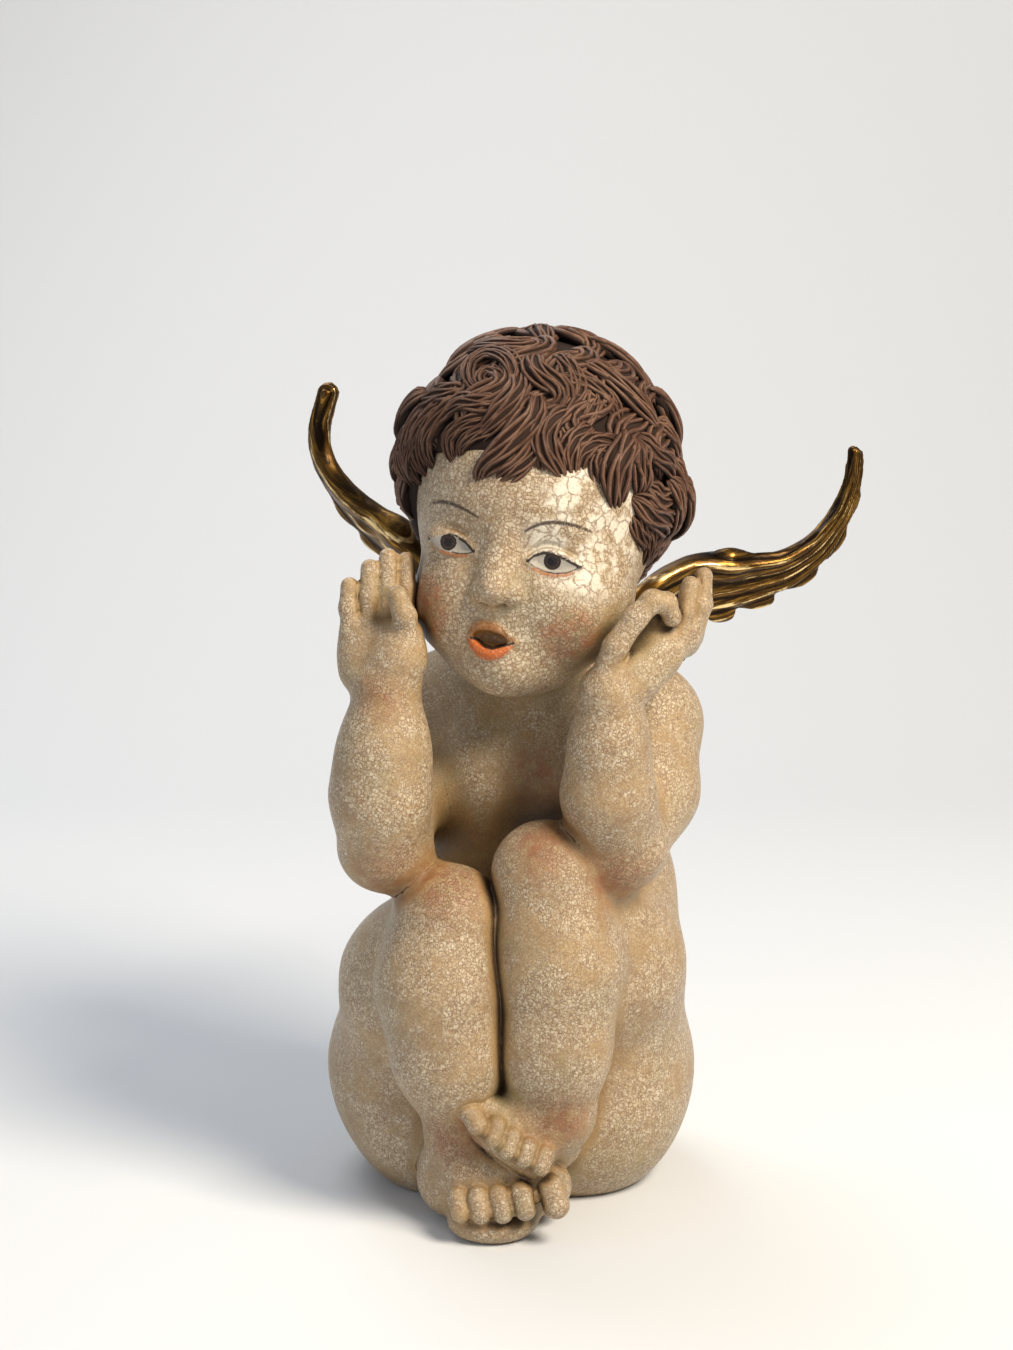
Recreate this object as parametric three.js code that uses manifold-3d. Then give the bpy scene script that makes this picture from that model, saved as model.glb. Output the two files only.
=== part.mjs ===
// A carved and painted seated cherub, 280 mm high, with its chin on its hands and its knees drawn up.
// The figure is one solid with its hair, and its two gilded wings are pieces of their own behind the shoulders.
// Millimetres, +Z up, and the figure looks along -Y. The origin is on the underside of the seat.
// Every form is a distance field, worked out from named sizes. The field is cut into triangles by
// marching cubes, and the triangles are then thinned where the surface is nearly flat.

import * as THREE from 'three';
import { edgeTable, triTable } from 'three/addons/objects/MarchingCubes.js';
import Module from 'manifold-3d';

// Driving dimensions, in millimetres
const figureHeight = 280;
const rootGap = 0.35;
const wingRimRadius = 4.4;
const rightTipRadius = 3.7;
const leftTipRadius = 1.9;
const wingBladeThickness = 2.6;
const featherThickness = 3.6;
const featherWidth = 6.4;
const fingerRadius = 3.1;
const toeRadius = 3.1;
const lockRadius = 4.7;
const noseWidth = 13.5;
const lipRadius = 1.9;
const eyeballRadius = 7.7;
const lidThickness = 1;

// Fineness of the solids
const figureCell = 1.5;
const wingCell = 1.35;
const figureTriangles = 7800;
const wingTriangles = 1050;

// The pose and the anatomy are shares of the height: one share is a millimetre on a figure 280 mm high
const share = figureHeight / 280;
const at = (x, y, z) => new THREE.Vector3(x, y, z).multiplyScalar(share);
const sized = (...lengths) => lengths.map((length) => length * share);

// Forms: each is a function of x, y and z that gives the distance to a surface, negative inside

function ball(centre, radius) {
  const { x: cx, y: cy, z: cz } = centre;
  return (x, y, z) => Math.sqrt((x - cx) ** 2 + (y - cy) ** 2 + (z - cz) ** 2) - radius;
}

function egg(centre, [rx, ry, rz]) {
  const { x: cx, y: cy, z: cz } = centre;
  return (x, y, z) => {
    const px = (x - cx) / rx;
    const py = (y - cy) / ry;
    const pz = (z - cz) / rz;
    const near = Math.sqrt(px * px + py * py + pz * pz);
    const slope = Math.sqrt((px / rx) ** 2 + (py / ry) ** 2 + (pz / rz) ** 2);
    return slope < 1e-9 ? -Math.min(rx, ry, rz) : (near * (near - 1)) / slope;
  };
}

// A straight stretch of limb, whose radius goes from one end's to the other's
function bone(from, fromRadius, to, toRadius) {
  const { x: ax, y: ay, z: az } = from;
  const bx = to.x - ax;
  const by = to.y - ay;
  const bz = to.z - az;
  const square = bx * bx + by * by + bz * bz;
  const swell = toRadius - fromRadius;
  return (x, y, z) => {
    const px = x - ax;
    const py = y - ay;
    const pz = z - az;
    const t = Math.min(1, Math.max(0, (px * bx + py * by + pz * bz) / square));
    return Math.sqrt((px - t * bx) ** 2 + (py - t * by) ** 2 + (pz - t * bz) ** 2) - fromRadius - t * swell;
  };
}

// Joins two distances with a fillet about as wide as soft
function blend(a, b, soft) {
  const near = Math.max(soft - Math.abs(a - b), 0) / soft;
  return Math.min(a, b) - (near * near * soft) / 4;
}

const carve = (body, tool, soft) => -blend(-body, tool, soft);

function fuse(soft, ...forms) {
  return (x, y, z) => forms.reduce((sum, form) => blend(sum, form(x, y, z), soft), Infinity);
}

// A limb through several points, each given as x, y, z and a radius in shares
function limb(soft, ...stations) {
  const bones = stations.slice(1).map((end, i) => {
    const start = stations[i];
    return bone(at(...start), start[3] * share, at(...end), end[3] * share);
  });
  return fuse(soft * share, ...bones);
}

// Trunk

function trunkForm() {
  const seat = fuse(
    14 * share,
    egg(at(3, 8, 46), sized(46, 37, 42)),
    egg(at(2, 2, 14), sized(39, 34, 20)),
    ball(at(-24, 7, 31), 32 * share),
    ball(at(28, 6, 31), 32 * share),
    ball(at(-19, 25, 29), 27 * share),
    ball(at(25, 24, 29), 27 * share),
    ball(at(-23, -8, 25), 26 * share),
    ball(at(27, -8, 25), 26.5 * share),
    egg(at(10, 14, 90), sized(46.5, 34, 46)),
    egg(at(8, 11, 130), sized(41, 30, 35)),
  );
  const shoulders = fuse(
    12 * share,
    limb(6, [-27, 14, 150, 17.5], [41, 5, 151, 18.5]),
    limb(6, [8, 11, 158, 26], [8, 3, 188, 24]),
    egg(at(8, 15, 162), sized(34, 22, 15)),
    ball(at(-9, -9, 138), 13 * share),
    ball(at(24, -13, 138), 13 * share),
    ball(at(-14, 26, 146), 15 * share),
    ball(at(31, 22, 146), 15 * share),
  );
  const cleft = limb(4, [3, 50, 2, 6], [3.5, 54, 28, 4], [4, 52, 50, 1]);
  const spine = limb(8, [6, 50, 74, 0.5], [9, 48, 118, 1], [9, 45, 152, 0.5]);
  const breastbone = limb(4, [8, -25, 156, 1], [7, -28, 132, 1.4]);
  return (x, y, z) => {
    const whole = blend(seat(x, y, z), shoulders(x, y, z), 14 * share);
    const grooves = Math.min(cleft(x, y, z), spine(x, y, z), breastbone(x, y, z));
    return carve(whole, grooves, 10 * share);
  };
}

// Legs: the figure's right leg is on the viewer's left, and its left foot lies on its right foot

function thighForms() {
  const right = limb(16, [-26, 8, 40, 31], [-26, -14, 70, 24], [-17.5, -39, 98, 16.5]);
  const left = limb(16, [28, 8, 41, 31], [28, -11, 75, 26], [12, -40, 113, 16]);
  return { right, left };
}

function calfForms() {
  const right = limb(10, [-18, -42, 98, 16.4], [-20, -44, 78, 18.8], [-17.6, -46, 56, 16.2], [-14, -44, 34, 10.8]);
  const left = limb(10, [12, -43, 112, 15.8], [15.6, -43, 85, 19.6], [14.4, -46, 58, 16.4], [15, -46, 37, 10.8]);
  return { right, left };
}

// A toe bends at its knuckle and ends in a rounded pad
function toe(size, root, knuckle, tip) {
  const radius = toeRadius * size;
  return fuse(
    1.2 * share,
    bone(at(...root), radius * 0.94, at(...knuckle), radius),
    bone(at(...knuckle), radius, at(...tip), radius * 0.97),
  );
}

function footForms() {
  const under = fuse(
    5 * share,
    limb(6, [-14, -42, 32, 11], [-15, -38, 13, 12], [-7, -46, 12, 11]),
    limb(6, [-13, -44, 28, 10], [1, -48, 16, 9.5]),
    limb(5, [-2, -47, 12, 10], [12, -46, 13, 8.5]),
    limb(5, [-11, -49, 20, 9.4], [7, -50, 19, 8.6]),
    egg(at(-4.4, -54, 4.6), sized(14, 10.6, 6)),
  );
  const underToes = fuse(
    0.4 * share,
    toe(1.08, [-14.6, -52, 15], [-14.6, -58.6, 14], [-13.9, -61.6, 10.6]),
    toe(1.1, [-9.2, -54, 16.4], [-8.6, -60.8, 15], [-7.7, -63.6, 11.2]),
    toe(1.1, [-3.2, -55, 17], [-2.2, -61.6, 15.8], [-1.1, -64.4, 11.8]),
    toe(1.12, [3.2, -55, 17.6], [4.6, -61.6, 16.8], [5.7, -64.4, 12.8]),
    toe(1.4, [10.6, -53, 17], [14, -59.6, 17.4], [15.2, -63, 13.6]),
  );
  const over = fuse(
    5 * share,
    limb(6, [16, -44, 37, 10.8], [14, -40, 26, 10]),
    limb(6, [15.5, -47, 37, 10.5], [6, -50, 38, 8.6]),
    limb(5, [-7, -53, 41.4, 5.6], [9, -51, 30, 8]),
    limb(4, [-7, -56, 34.6, 3.8], [8, -56, 23, 4.6]),
  );
  const overToes = fuse(
    0.4 * share,
    toe(1.08, [-9, -53, 43.4], [-11.2, -58.5, 42.2], [-8.8, -62.6, 39.4]),
    toe(0.92, [-1.6, -55, 40], [-3.2, -60.8, 38.2], [-4.1, -63.4, 35.2]),
    toe(0.92, [3.4, -55, 37], [1.4, -60.8, 34.8], [0.4, -63.4, 31.6]),
    toe(0.92, [8.2, -55, 34], [6.4, -60.8, 31.6], [5.4, -63.2, 28.6]),
    toe(0.96, [12.6, -54, 31], [11.4, -60, 28.8], [10.4, -62.6, 25.9]),
  );
  return {
    right: (x, y, z) => blend(under(x, y, z), underToes(x, y, z), 1.6 * share),
    left: (x, y, z) => blend(over(x, y, z), overToes(x, y, z), 1.6 * share),
  };
}

// Arms: the elbows rest on the knees

function armForms() {
  return {
    rightUpper: limb(9, [-29, 14, 149, 17], [-36, -11, 133, 15], [-37, -33, 121, 14]),
    leftUpper: limb(9, [44.5, 4, 150, 18], [44, -14, 133, 15.3], [36.5, -33, 121, 14]),
    rightFore: limb(8, [-38, -39, 121, 14], [-38.4, -44, 139, 14], [-37.2, -44, 153, 12.6], [-36, -42, 171, 10]),
    leftFore: limb(8, [34.5, -38, 121, 14], [31, -45, 139, 13], [31, -48, 155, 10.8], [31, -50, 171, 9]),
  };
}

// A finger is a chain through its joints and thins towards the tip
function finger(thickness, ...joints) {
  const radius = fingerRadius * thickness;
  const bones = joints.slice(1).map((joint, i) => {
    const thin = 0.06 * i;
    return bone(at(...joints[i]), radius * (1 - thin), at(...joint), radius * (0.94 - thin));
  });
  return fuse(1.5 * share, ...bones);
}

function handForms() {
  const rightPalm = fuse(
    5 * share,
    egg(at(-39, -37.4, 180), sized(11.6, 7.2, 13)),
    limb(5, [-36.5, -42, 172, 10], [-32.4, -43, 181, 7.6], [-30.8, -43, 188, 5.6]),
    limb(4, [-45, -38, 176, 5], [-46, -36.5, 188, 4.4]),
  );
  const rightFingers = [
    finger(1.02, [-46.8, -38, 187], [-47.8, -37, 195], [-47.6, -35, 201.4]),
    finger(1.04, [-41.1, -38, 187], [-41.6, -36.5, 198], [-41.5, -33, 206.6]),
    finger(1.04, [-35.7, -38, 188], [-36, -35.5, 200], [-36, -31.5, 209.8]),
    finger(0.98, [-30.5, -37, 189], [-30.4, -34, 200.5], [-30.6, -30, 208.6]),
  ];
  const rightThumb = finger(1.2, [-30.2, -44.5, 186], [-30.4, -46.6, 194], [-32.8, -46.2, 200.2]);
  const leftPalm = fuse(
    4 * share,
    limb(5, [31, -50, 171, 9], [38.5, -47, 176.4, 7.6], [46, -43, 182, 6.2], [52, -39, 188, 5]),
    egg(at(44, -40.5, 188), sized(9, 5.4, 9)),
    egg(at(54, -33, 187), sized(6, 9, 8)),
  );
  const leftFingers = [
    finger(1, [51.6, -42.4, 186], [53.6, -42, 195], [55.4, -40, 202.6]),
    finger(1, [55.4, -38.6, 187], [58.3, -37.6, 196], [59.8, -35.4, 204.6]),
    finger(1, [57, -32.6, 186], [60, -30.5, 195], [60.4, -27, 202.4]),
    finger(0.92, [56, -27, 185], [59, -24, 192], [58.5, -20, 198]),
  ];
  // The left thumb lies along the cheek, and its tip curls over towards the fingers
  const thumbJoints = [
    [29.6, -52.2, 178], [32.4, -53, 186], [38.4, -51.8, 194.6],
    [43.4, -50.6, 199.4], [47.6, -49, 198.6], [49.4, -47.6, 194],
  ];
  const leftThumb = finger(1.32, ...thumbJoints);
  const right = fuse(0.4 * share, ...rightFingers, rightThumb);
  const left = fuse(0.4 * share, ...leftFingers, leftThumb);
  return {
    right: (x, y, z) => blend(rightPalm(x, y, z), right(x, y, z), 1.4 * share),
    left: (x, y, z) => blend(leftPalm(x, y, z), left(x, y, z), 1.4 * share),
  };
}

// The head, in its own frame: the face looks along -Y before the head is turned and tipped

const headCentre = at(8, -6, 221);
const headTurn = THREE.MathUtils.degToRad(-9);
const headTip = THREE.MathUtils.degToRad(8.5);
const headFrame = new THREE.Matrix4()
  .makeRotationZ(headTurn)
  .multiply(new THREE.Matrix4().makeRotationY(headTip))
  .setPosition(headCentre);

function inFrame(frame, form) {
  const e = frame.clone().invert().elements;
  return (x, y, z) =>
    form(
      e[0] * x + e[4] * y + e[8] * z + e[12],
      e[1] * x + e[5] * y + e[9] * z + e[13],
      e[2] * x + e[6] * y + e[10] * z + e[14],
    );
}

// What stands on the face lies on places across it and up it, each with how thick it is
const rightEyePlaces = {
  upper: [[-25, -8.4], [-23.2, -6.4], [-20.1, -4.9], [-16.8, -4.6], [-13.4, -6.1], [-10.4, -8.9]],
  lower: [[-25, -8.6], [-22.1, -10], [-18.4, -10.8], [-14.4, -10.5], [-10.4, -9]],
};
const leftEyePlaces = {
  upper: [[6.8, -8.8], [8, -6.8], [11.1, -5], [14.5, -5.1], [17.9, -6.1], [23.2, -8.6]],
  lower: [[6.8, -8.9], [8.6, -10.4], [12, -11.5], [15.5, -11.7], [19.4, -10.8], [23.2, -8.7]],
};
const upperLipPlaces = [
  [-6.9, -33.7, 0.5], [-6, -31.2, 0.8], [-4.7, -30.1, 0.95], [-2.9, -30.7, 0.8],
  [-0.9, -30, 0.98], [2, -31.2, 0.8], [4.9, -32.6, 0.6], [8.2, -33.2, 0.35],
];
const lowerLipPlaces = [
  [-6.9, -34.7, 0.5], [-5.3, -36.6, 0.85], [-2.7, -38, 1], [0.3, -38.1, 1],
  [3.1, -36.9, 0.85], [5.8, -34.7, 0.55],
];

// The front of a form, found along the way that the face looks
function frontOf(form, x, z) {
  let y = -62 * share;
  for (let i = 0; i < 60; i += 1) {
    y += 0.85 * form(x, y, z);
  }
  return y;
}

// A rounded ridge that runs over a surface, sunk into it by a part of its thickness
function ridge(ground, size, sunk, places) {
  const stations = places.map(([x, z, thick]) => {
    const point = at(x, 0, z);
    point.y = frontOf(ground, point.x, point.z) + sunk * share;
    return { point, radius: size * thick };
  });
  const bones = stations
    .slice(1)
    .map((next, i) => bone(stations[i].point, stations[i].radius, next.point, next.radius));
  return fuse(0.6 * share, ...bones);
}

// An eyeball bulges a little from its socket
function orbForm(skull, { upper, lower }) {
  const middle = at((upper[0][0] + upper[upper.length - 1][0]) / 2, 0, (upper[2][1] + lower[2][1]) / 2);
  middle.y = frontOf(skull, middle.x, middle.z) + eyeballRadius * 0.83;
  return egg(middle, [eyeballRadius * 1.22, eyeballRadius, eyeballRadius * 0.96]);
}

function lidForms(ground, { upper, lower }) {
  const last = upper.length - 1;
  const upperPlaces = upper.map(([x, z], i) => [x, z + 0.7, i % last ? 1.1 : 0.85]);
  const lowerPlaces = lower.map(([x, z]) => [x, z - 0.4, 0.6]);
  return fuse(
    0.6 * share,
    ridge(ground, lidThickness, 0.25, upperPlaces),
    ridge(ground, lidThickness, 0.1, lowerPlaces),
  );
}

function noseForms() {
  const tip = at(-1.8, -47.4, -17.8);
  const half = noseWidth / 2 - 2 * share;
  const rightWing = tip.clone().add(new THREE.Vector3(0.9 * share - half, 2.8 * share, -1.9 * share));
  const leftWing = tip.clone().add(new THREE.Vector3(half + share, 2.7 * share, -1.1 * share));
  const bridge = fuse(
    3 * share,
    bone(at(-3.2, -40.4, -3), 3 * share, at(-2.4, -43.4, -12), 3.6 * share),
    bone(at(-2.4, -43.4, -12), 3.6 * share, tip, 4.2 * share),
  );
  return { bridge, wings: fuse(0.5 * share, ball(rightWing, 2.9 * share), ball(leftWing, 3 * share)) };
}

function skullForm() {
  const skull = fuse(
    18 * share,
    egg(at(2.5, 3, 5), sized(36.5, 41, 39)),
    egg(at(1, -8, 8), sized(31, 33.4, 29)),
    egg(at(3.4, -11, -19), sized(27, 32, 31)),
  );
  const flesh = fuse(
    9 * share,
    ball(at(-12.8, -27.6, -28.5), 15.4 * share),
    ball(at(19, -25, -23.5), 18 * share),
    ball(at(2.2, -35, -41), 10.6 * share),
    egg(at(3, -20, -43), sized(18.6, 17, 10.6)),
  );
  const sockets = fuse(
    2 * share,
    egg(at(-17.5, -48.5, -5.5), sized(10, 7.5, 6.5)),
    egg(at(15, -49.5, -6), sized(11, 7.5, 6.5)),
    egg(at(-8.6, -50, -6), sized(3.6, 6.5, 8)),
    egg(at(4.8, -51, -7), sized(3, 6, 8)),
  );
  return (x, y, z) => carve(blend(skull(x, y, z), flesh(x, y, z), 12 * share), sockets(x, y, z), 7 * share);
}

function faceForm() {
  const skull = skullForm();
  const orbs = fuse(1.5 * share, skull, orbForm(skull, rightEyePlaces), orbForm(skull, leftEyePlaces));
  const lids = fuse(0.6 * share, lidForms(orbs, rightEyePlaces), lidForms(orbs, leftEyePlaces));
  const nose = noseForms();
  const eyesBound = ball(at(-1, -40, -8), 28 * share);
  const ground = (x, y, z) => {
    let d = orbs(x, y, z);
    if (eyesBound(x, y, z) < 0) d = blend(d, lids(x, y, z), 1.2 * share);
    return blend(d, nose.bridge(x, y, z), 6.5 * share);
  };
  const lips = fuse(
    0.6 * share,
    ridge(ground, lipRadius, 0.35, upperLipPlaces),
    ridge(ground, lipRadius, 0.2, lowerLipPlaces),
  );
  const mouth = at(-0.7, 0, -34.2);
  mouth.y = frontOf(ground, mouth.x, mouth.z);
  const hollow = egg(mouth, sized(5.6, 3.2, 1.9));
  const mouthBound = ball(at(0, -45, -28), 18 * share);
  return (x, y, z) => {
    let d = ground(x, y, z);
    if (mouthBound(x, y, z) > 0) return d;
    d = blend(d, nose.wings(x, y, z), 2.2 * share);
    d = blend(d, lips(x, y, z), 1.4 * share);
    return carve(d, hollow(x, y, z), 0.8 * share);
  };
}

// Hair: locks run from the crown to the hairline over the scalp, in waves

const crownTilt = THREE.MathUtils.degToRad(20);
const crownAxis = new THREE.Vector3(0, Math.sin(crownTilt), Math.cos(crownTilt));
const crownFront = new THREE.Vector3(0, -Math.cos(crownTilt), Math.sin(crownTilt));
const crownSide = new THREE.Vector3(1, 0, 0);
const scalpCentre = at(0, 4, 8.6);
const scalpRadii = sized(40.6, 45, 43.6);

// A point on the scalp, down from the crown and around from the face, raised by a lift
function onScalp(down, around, lift) {
  const ray = crownAxis
    .clone()
    .multiplyScalar(Math.cos(down))
    .addScaledVector(crownFront, Math.sin(down) * Math.cos(around))
    .addScaledVector(crownSide, Math.sin(down) * Math.sin(around));
  const [rx, ry, rz] = scalpRadii;
  const reach = 1 / Math.hypot(ray.x / rx, ray.y / ry, ray.z / rz);
  return ray.multiplyScalar(reach + lift).add(scalpCentre);
}

// Rows of locks: where they start and end down from the crown, how many, and how far round they go
const lockRows = [
  { start: 5, end: 44, count: 8, from: -180, to: 180, phase: 0.2, size: 0.95 },
  { start: 33, end: 73, count: 12, from: -180, to: 180, phase: 0.6, size: 1 },
  { start: 61, end: 96, count: 14, from: -180, to: 180, phase: 0.1, size: 1 },
  { start: 82, end: 106, count: 9, from: -56, to: 58, phase: 0.75, size: 0.9 },
  { start: 84, end: 126, count: 4, from: 66, to: 116, phase: 0.5, size: 1.1 },
  { start: 84, end: 126, count: 4, from: -116, to: -66, phase: 0.5, size: 0.95 },
  { start: 88, end: 128, count: 6, from: 132, to: 228, phase: 0.4, size: 1.1 },
];

// Locks that stray from the rows, as points of the head with radii: the flick above the figure's left
// ear, the two above its right ear, and the curl over the brow
const strayLocks = [
  [[43, 6, 12, 4], [46.5, 10, 5, 4.4], [48, 12, -3, 4], [46, 12, -9, 3]],
  [[-39, -6, 27, 4], [-43.5, -4, 22, 4], [-45.5, -2, 16.5, 2.8], [-42, -5, 11, 2.2]],
  [[-37, -12, 10, 3.6], [-41, -9, 4, 4.2], [-41, -7, -3, 3.4], [-37.5, -10, -9, 2.4]],
  [[-12, -34, 37, 3.6], [-4, -39, 35, 3.8], [-1, -42, 28, 3.8], [-7, -43, 23, 3.6], [-14, -41, 26, 3.2]],
];
const lockJoints = 5;
const waveWidth = THREE.MathUtils.degToRad(7);

function lockForms() {
  const locks = strayLocks.map((points) => {
    const middle = at(...points[1]);
    return { form: limb(2, ...points), bound: ball(middle, 24 * share) };
  });
  for (const row of lockRows) {
    const start = THREE.MathUtils.degToRad(row.start);
    const end = THREE.MathUtils.degToRad(row.end);
    const turn = row.to - row.from === 360 ? row.count : row.count - 1;
    for (let i = 0; i < row.count; i++) {
      const around = THREE.MathUtils.degToRad(row.from + ((row.to - row.from) * i) / Math.max(turn, 1));
      const lean = (i % 2 ? 1 : -1) * waveWidth;
      const joints = [];
      for (let j = 0; j < lockJoints; j++) {
        const t = j / (lockJoints - 1);
        const down = start + (end - start) * t;
        const wave = (lean * Math.sin(2 * Math.PI * (t + row.phase))) / Math.max(Math.sin(down), 0.35);
        const lift = (1.2 + 2 * Math.sin(Math.PI * Math.min(1, t + 0.15))) * share;
        joints.push({ point: onScalp(down, around + wave, lift), radius: lockRadius * row.size * share * (1 - 0.5 * t * t) });
      }
      const bones = joints.slice(1).map((end, k) => bone(joints[k].point, joints[k].radius, end.point, end.radius));
      const middle = joints[(lockJoints - 1) / 2].point;
      const extent = Math.max(...joints.map(({ point, radius }) => point.distanceTo(middle) + radius));
      locks.push({ form: fuse(2 * share, ...bones), bound: ball(middle, extent) });
    }
  }
  return locks;
}

function hairForm() {
  const shell = egg(at(0.4, 4.5, 9), sized(41.5, 47, 44.5));
  const locks = lockForms();
  const lockEdge = 1.4 * share;
  // The hairline runs from the forehead down past the temples to the nape
  const rise = Math.hypot(0.92, 1);
  return (x, y, z) => {
    const aboveHairline = (0.92 * (y + 40 * share) + z - 15 * share) / rise;
    let d = carve(shell(x, y, z), aboveHairline, 4 * share);
    for (const lock of locks) {
      if (lock.bound(x, y, z) < d + lockEdge) d = blend(d, lock.form(x, y, z), lockEdge);
    }
    return d;
  };
}

// The whole figure

function figureForm() {
  const trunk = trunkForm();
  const thighs = thighForms();
  const calves = calfForms();
  const feet = footForms();
  const arms = armForms();
  const hands = handForms();
  const face = inFrame(headFrame, faceForm());
  const hair = inFrame(headFrame, hairForm());
  const headBound = ball(headCentre, 68 * share);
  const crease = 2 * share;
  return (x, y, z) => {
    let d = blend(trunk(x, y, z), Math.min(thighs.right(x, y, z), thighs.left(x, y, z)), 12 * share);
    d = blend(d, Math.min(arms.rightUpper(x, y, z), arms.leftUpper(x, y, z)), 10 * share);
    const legs = Math.min(
      blend(calves.right(x, y, z), feet.right(x, y, z), 5 * share),
      blend(calves.left(x, y, z), feet.left(x, y, z), 5 * share),
    );
    d = blend(d, legs, 4 * share);
    const rightArm = blend(arms.rightFore(x, y, z), hands.right(x, y, z), 2.5 * share);
    const leftArm = blend(arms.leftFore(x, y, z), hands.left(x, y, z), 2.5 * share);
    d = blend(d, Math.min(rightArm, leftArm), 4.5 * share);
    const headNear = headBound(x, y, z);
    if (headNear < d + 4 * share) {
      const head = blend(face(x, y, z), hair(x, y, z), share);
      d = blend(d, head, crease);
    }
    return Math.max(d, -z);
  };
}

// Wings: a wing is laid out flat, along its leading edge and down its chord, then bent along a spine

// Each wing has its own sweep: the way its feathers fall from the leading edge
const rightSweep = new THREE.Vector3(0, 0.62, -0.78);
const leftSweep = new THREE.Vector3(0.42, 0.42, -0.8);

function spineOf(sweep, points) {
  const curve = new THREE.CatmullRomCurve3(points, false, 'centripetal');
  const steps = 72;
  const stations = curve.getSpacedPoints(steps).map((point, i) => {
    const along = curve.getTangentAt(i / steps);
    const chord = sweep.clone().addScaledVector(along, -sweep.dot(along)).normalize();
    return { point, along, chord, side: new THREE.Vector3().crossVectors(along, chord) };
  });
  return { stations, length: curve.getLength(), steps };
}

// Turns a point in space into its place on the flat wing: along, down the chord, and out of the blade
function flatten(spine) {
  const { stations, length, steps } = spine;
  const stride = length / steps;
  return (x, y, z) => {
    let best = Infinity;
    let nearest = 0;
    for (let i = 0; i <= steps; i++) {
      const p = stations[i].point;
      const square = (x - p.x) ** 2 + (y - p.y) ** 2 + (z - p.z) ** 2;
      if (square < best) {
        best = square;
        nearest = i;
      }
    }
    const { point: p, along, chord, side } = stations[nearest];
    const dx = x - p.x;
    const dy = y - p.y;
    const dz = z - p.z;
    return [
      nearest * stride + dx * along.x + dy * along.y + dz * along.z,
      dx * chord.x + dy * chord.y + dz * chord.z,
      dx * side.x + dy * side.y + dz * side.z,
    ];
  };
}

// A feather lies flat between two points of the blade, and its thickness is a share of its width
function feather(from, to, halfWidth, level) {
  const flatness = featherThickness / 2 / halfWidth;
  const shaft = bone(
    new THREE.Vector3(from[0], from[1], level / flatness),
    halfWidth * 0.85,
    new THREE.Vector3(to[0], to[1], level / flatness),
    halfWidth,
  );
  return (s, c, w) => shaft(s, c, w / flatness) * (0.55 + 0.45 * flatness);
}

// How far the blade reaches down the chord, from the root to the tip
const bladeReach = [20, 23, 23, 18, 11.5, 6.5, 2.5];

function reachAt(t) {
  const place = Math.min(Math.max(t, 0), 0.9999) * (bladeReach.length - 1);
  const i = Math.floor(place);
  return (bladeReach[i] + (bladeReach[i + 1] - bladeReach[i]) * (place - i)) * share;
}

// A row of feathers: each starts and ends at a share of the length and a share of the blade's reach
function featherRow(long, { count, starts, ends, halfWidth, level }) {
  const row = [];
  for (let i = 0; i < count; i++) {
    const t = count > 1 ? i / (count - 1) : 0;
    const spot = ([s0, s1, c0, c1]) => {
      const s = s0 + (s1 - s0) * t;
      return [long * s, reachAt(s) * (c0 + (c1 - c0) * t)];
    };
    row.push(feather(spot(starts), spot(ends), halfWidth[0] + (halfWidth[1] - halfWidth[0]) * t, level + 0.25 * (i % 2)));
  }
  return row;
}

function wingForm(spine, tipRadius) {
  const long = spine.length;
  const rim = fuse(
    6,
    bone(new THREE.Vector3(0, 1, 0), wingRimRadius * 1.35, new THREE.Vector3(long * 0.5, 0, 0), wingRimRadius),
    bone(new THREE.Vector3(long * 0.5, 0, 0), wingRimRadius, new THREE.Vector3(long, 0, 0), tipRadius),
  );
  const half = featherWidth / 2;
  const feathers = [
    ...featherRow(long, {
      count: 5,
      starts: [0.44, 0.18, 0.2, 0.5],
      ends: [0.985, 0.6, 0.6, 1.02],
      halfWidth: [half * 0.8, half * 1.1],
      level: -0.2,
    }),
    ...featherRow(long, {
      count: 4,
      starts: [0.34, 0.03, 0.4, 0.4],
      ends: [0.51, 0.14, 1.12, 1.25],
      halfWidth: [half * 1.15, half * 1.25],
      level: 0.3,
    }),
    ...featherRow(long, {
      count: 6,
      starts: [0.02, 0.48, 0.2, 0.1],
      ends: [0.12, 0.62, 0.62, 0.5],
      halfWidth: [half * 1.1, half * 0.7],
      level: 0.9,
    }),
  ];
  const flat = flatten(spine);
  return (x, y, z) => {
    const [s, c, w] = flat(x, y, z);
    const reach = reachAt(s / long) * 0.86;
    const outside = Math.hypot(Math.max(c - reach, 0, -c), Math.max(s - long, -s, 0));
    const blade = Math.max(Math.abs(w) - wingBladeThickness / 2, outside);
    let d = blend(rim(s, c, w), blade, 2);
    for (const form of feathers) d = blend(d, form(s, c, w), 0.9);
    return d;
  };
}

const rightSpine = spineOf(rightSweep, [
  at(-2, 30, 158),
  at(-18, 42, 184),
  at(-36, 51, 205),
  at(-49, 58, 214),
  at(-57, 63, 220.5),
  at(-62.5, 67, 229),
  at(-64, 68, 239),
  at(-60.5, 67, 252),
]);
const leftSpine = spineOf(leftSweep, [
  at(26, 29, 160),
  at(44, 38, 184),
  at(63, 46, 195),
  at(79, 51, 195.5),
  at(93.5, 55, 196.5),
  at(104.5, 58, 202),
  at(112.5, 60, 211.5),
  at(117, 61, 222.5),
  at(117.5, 60, 233),
]);

// From a field to triangles

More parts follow.
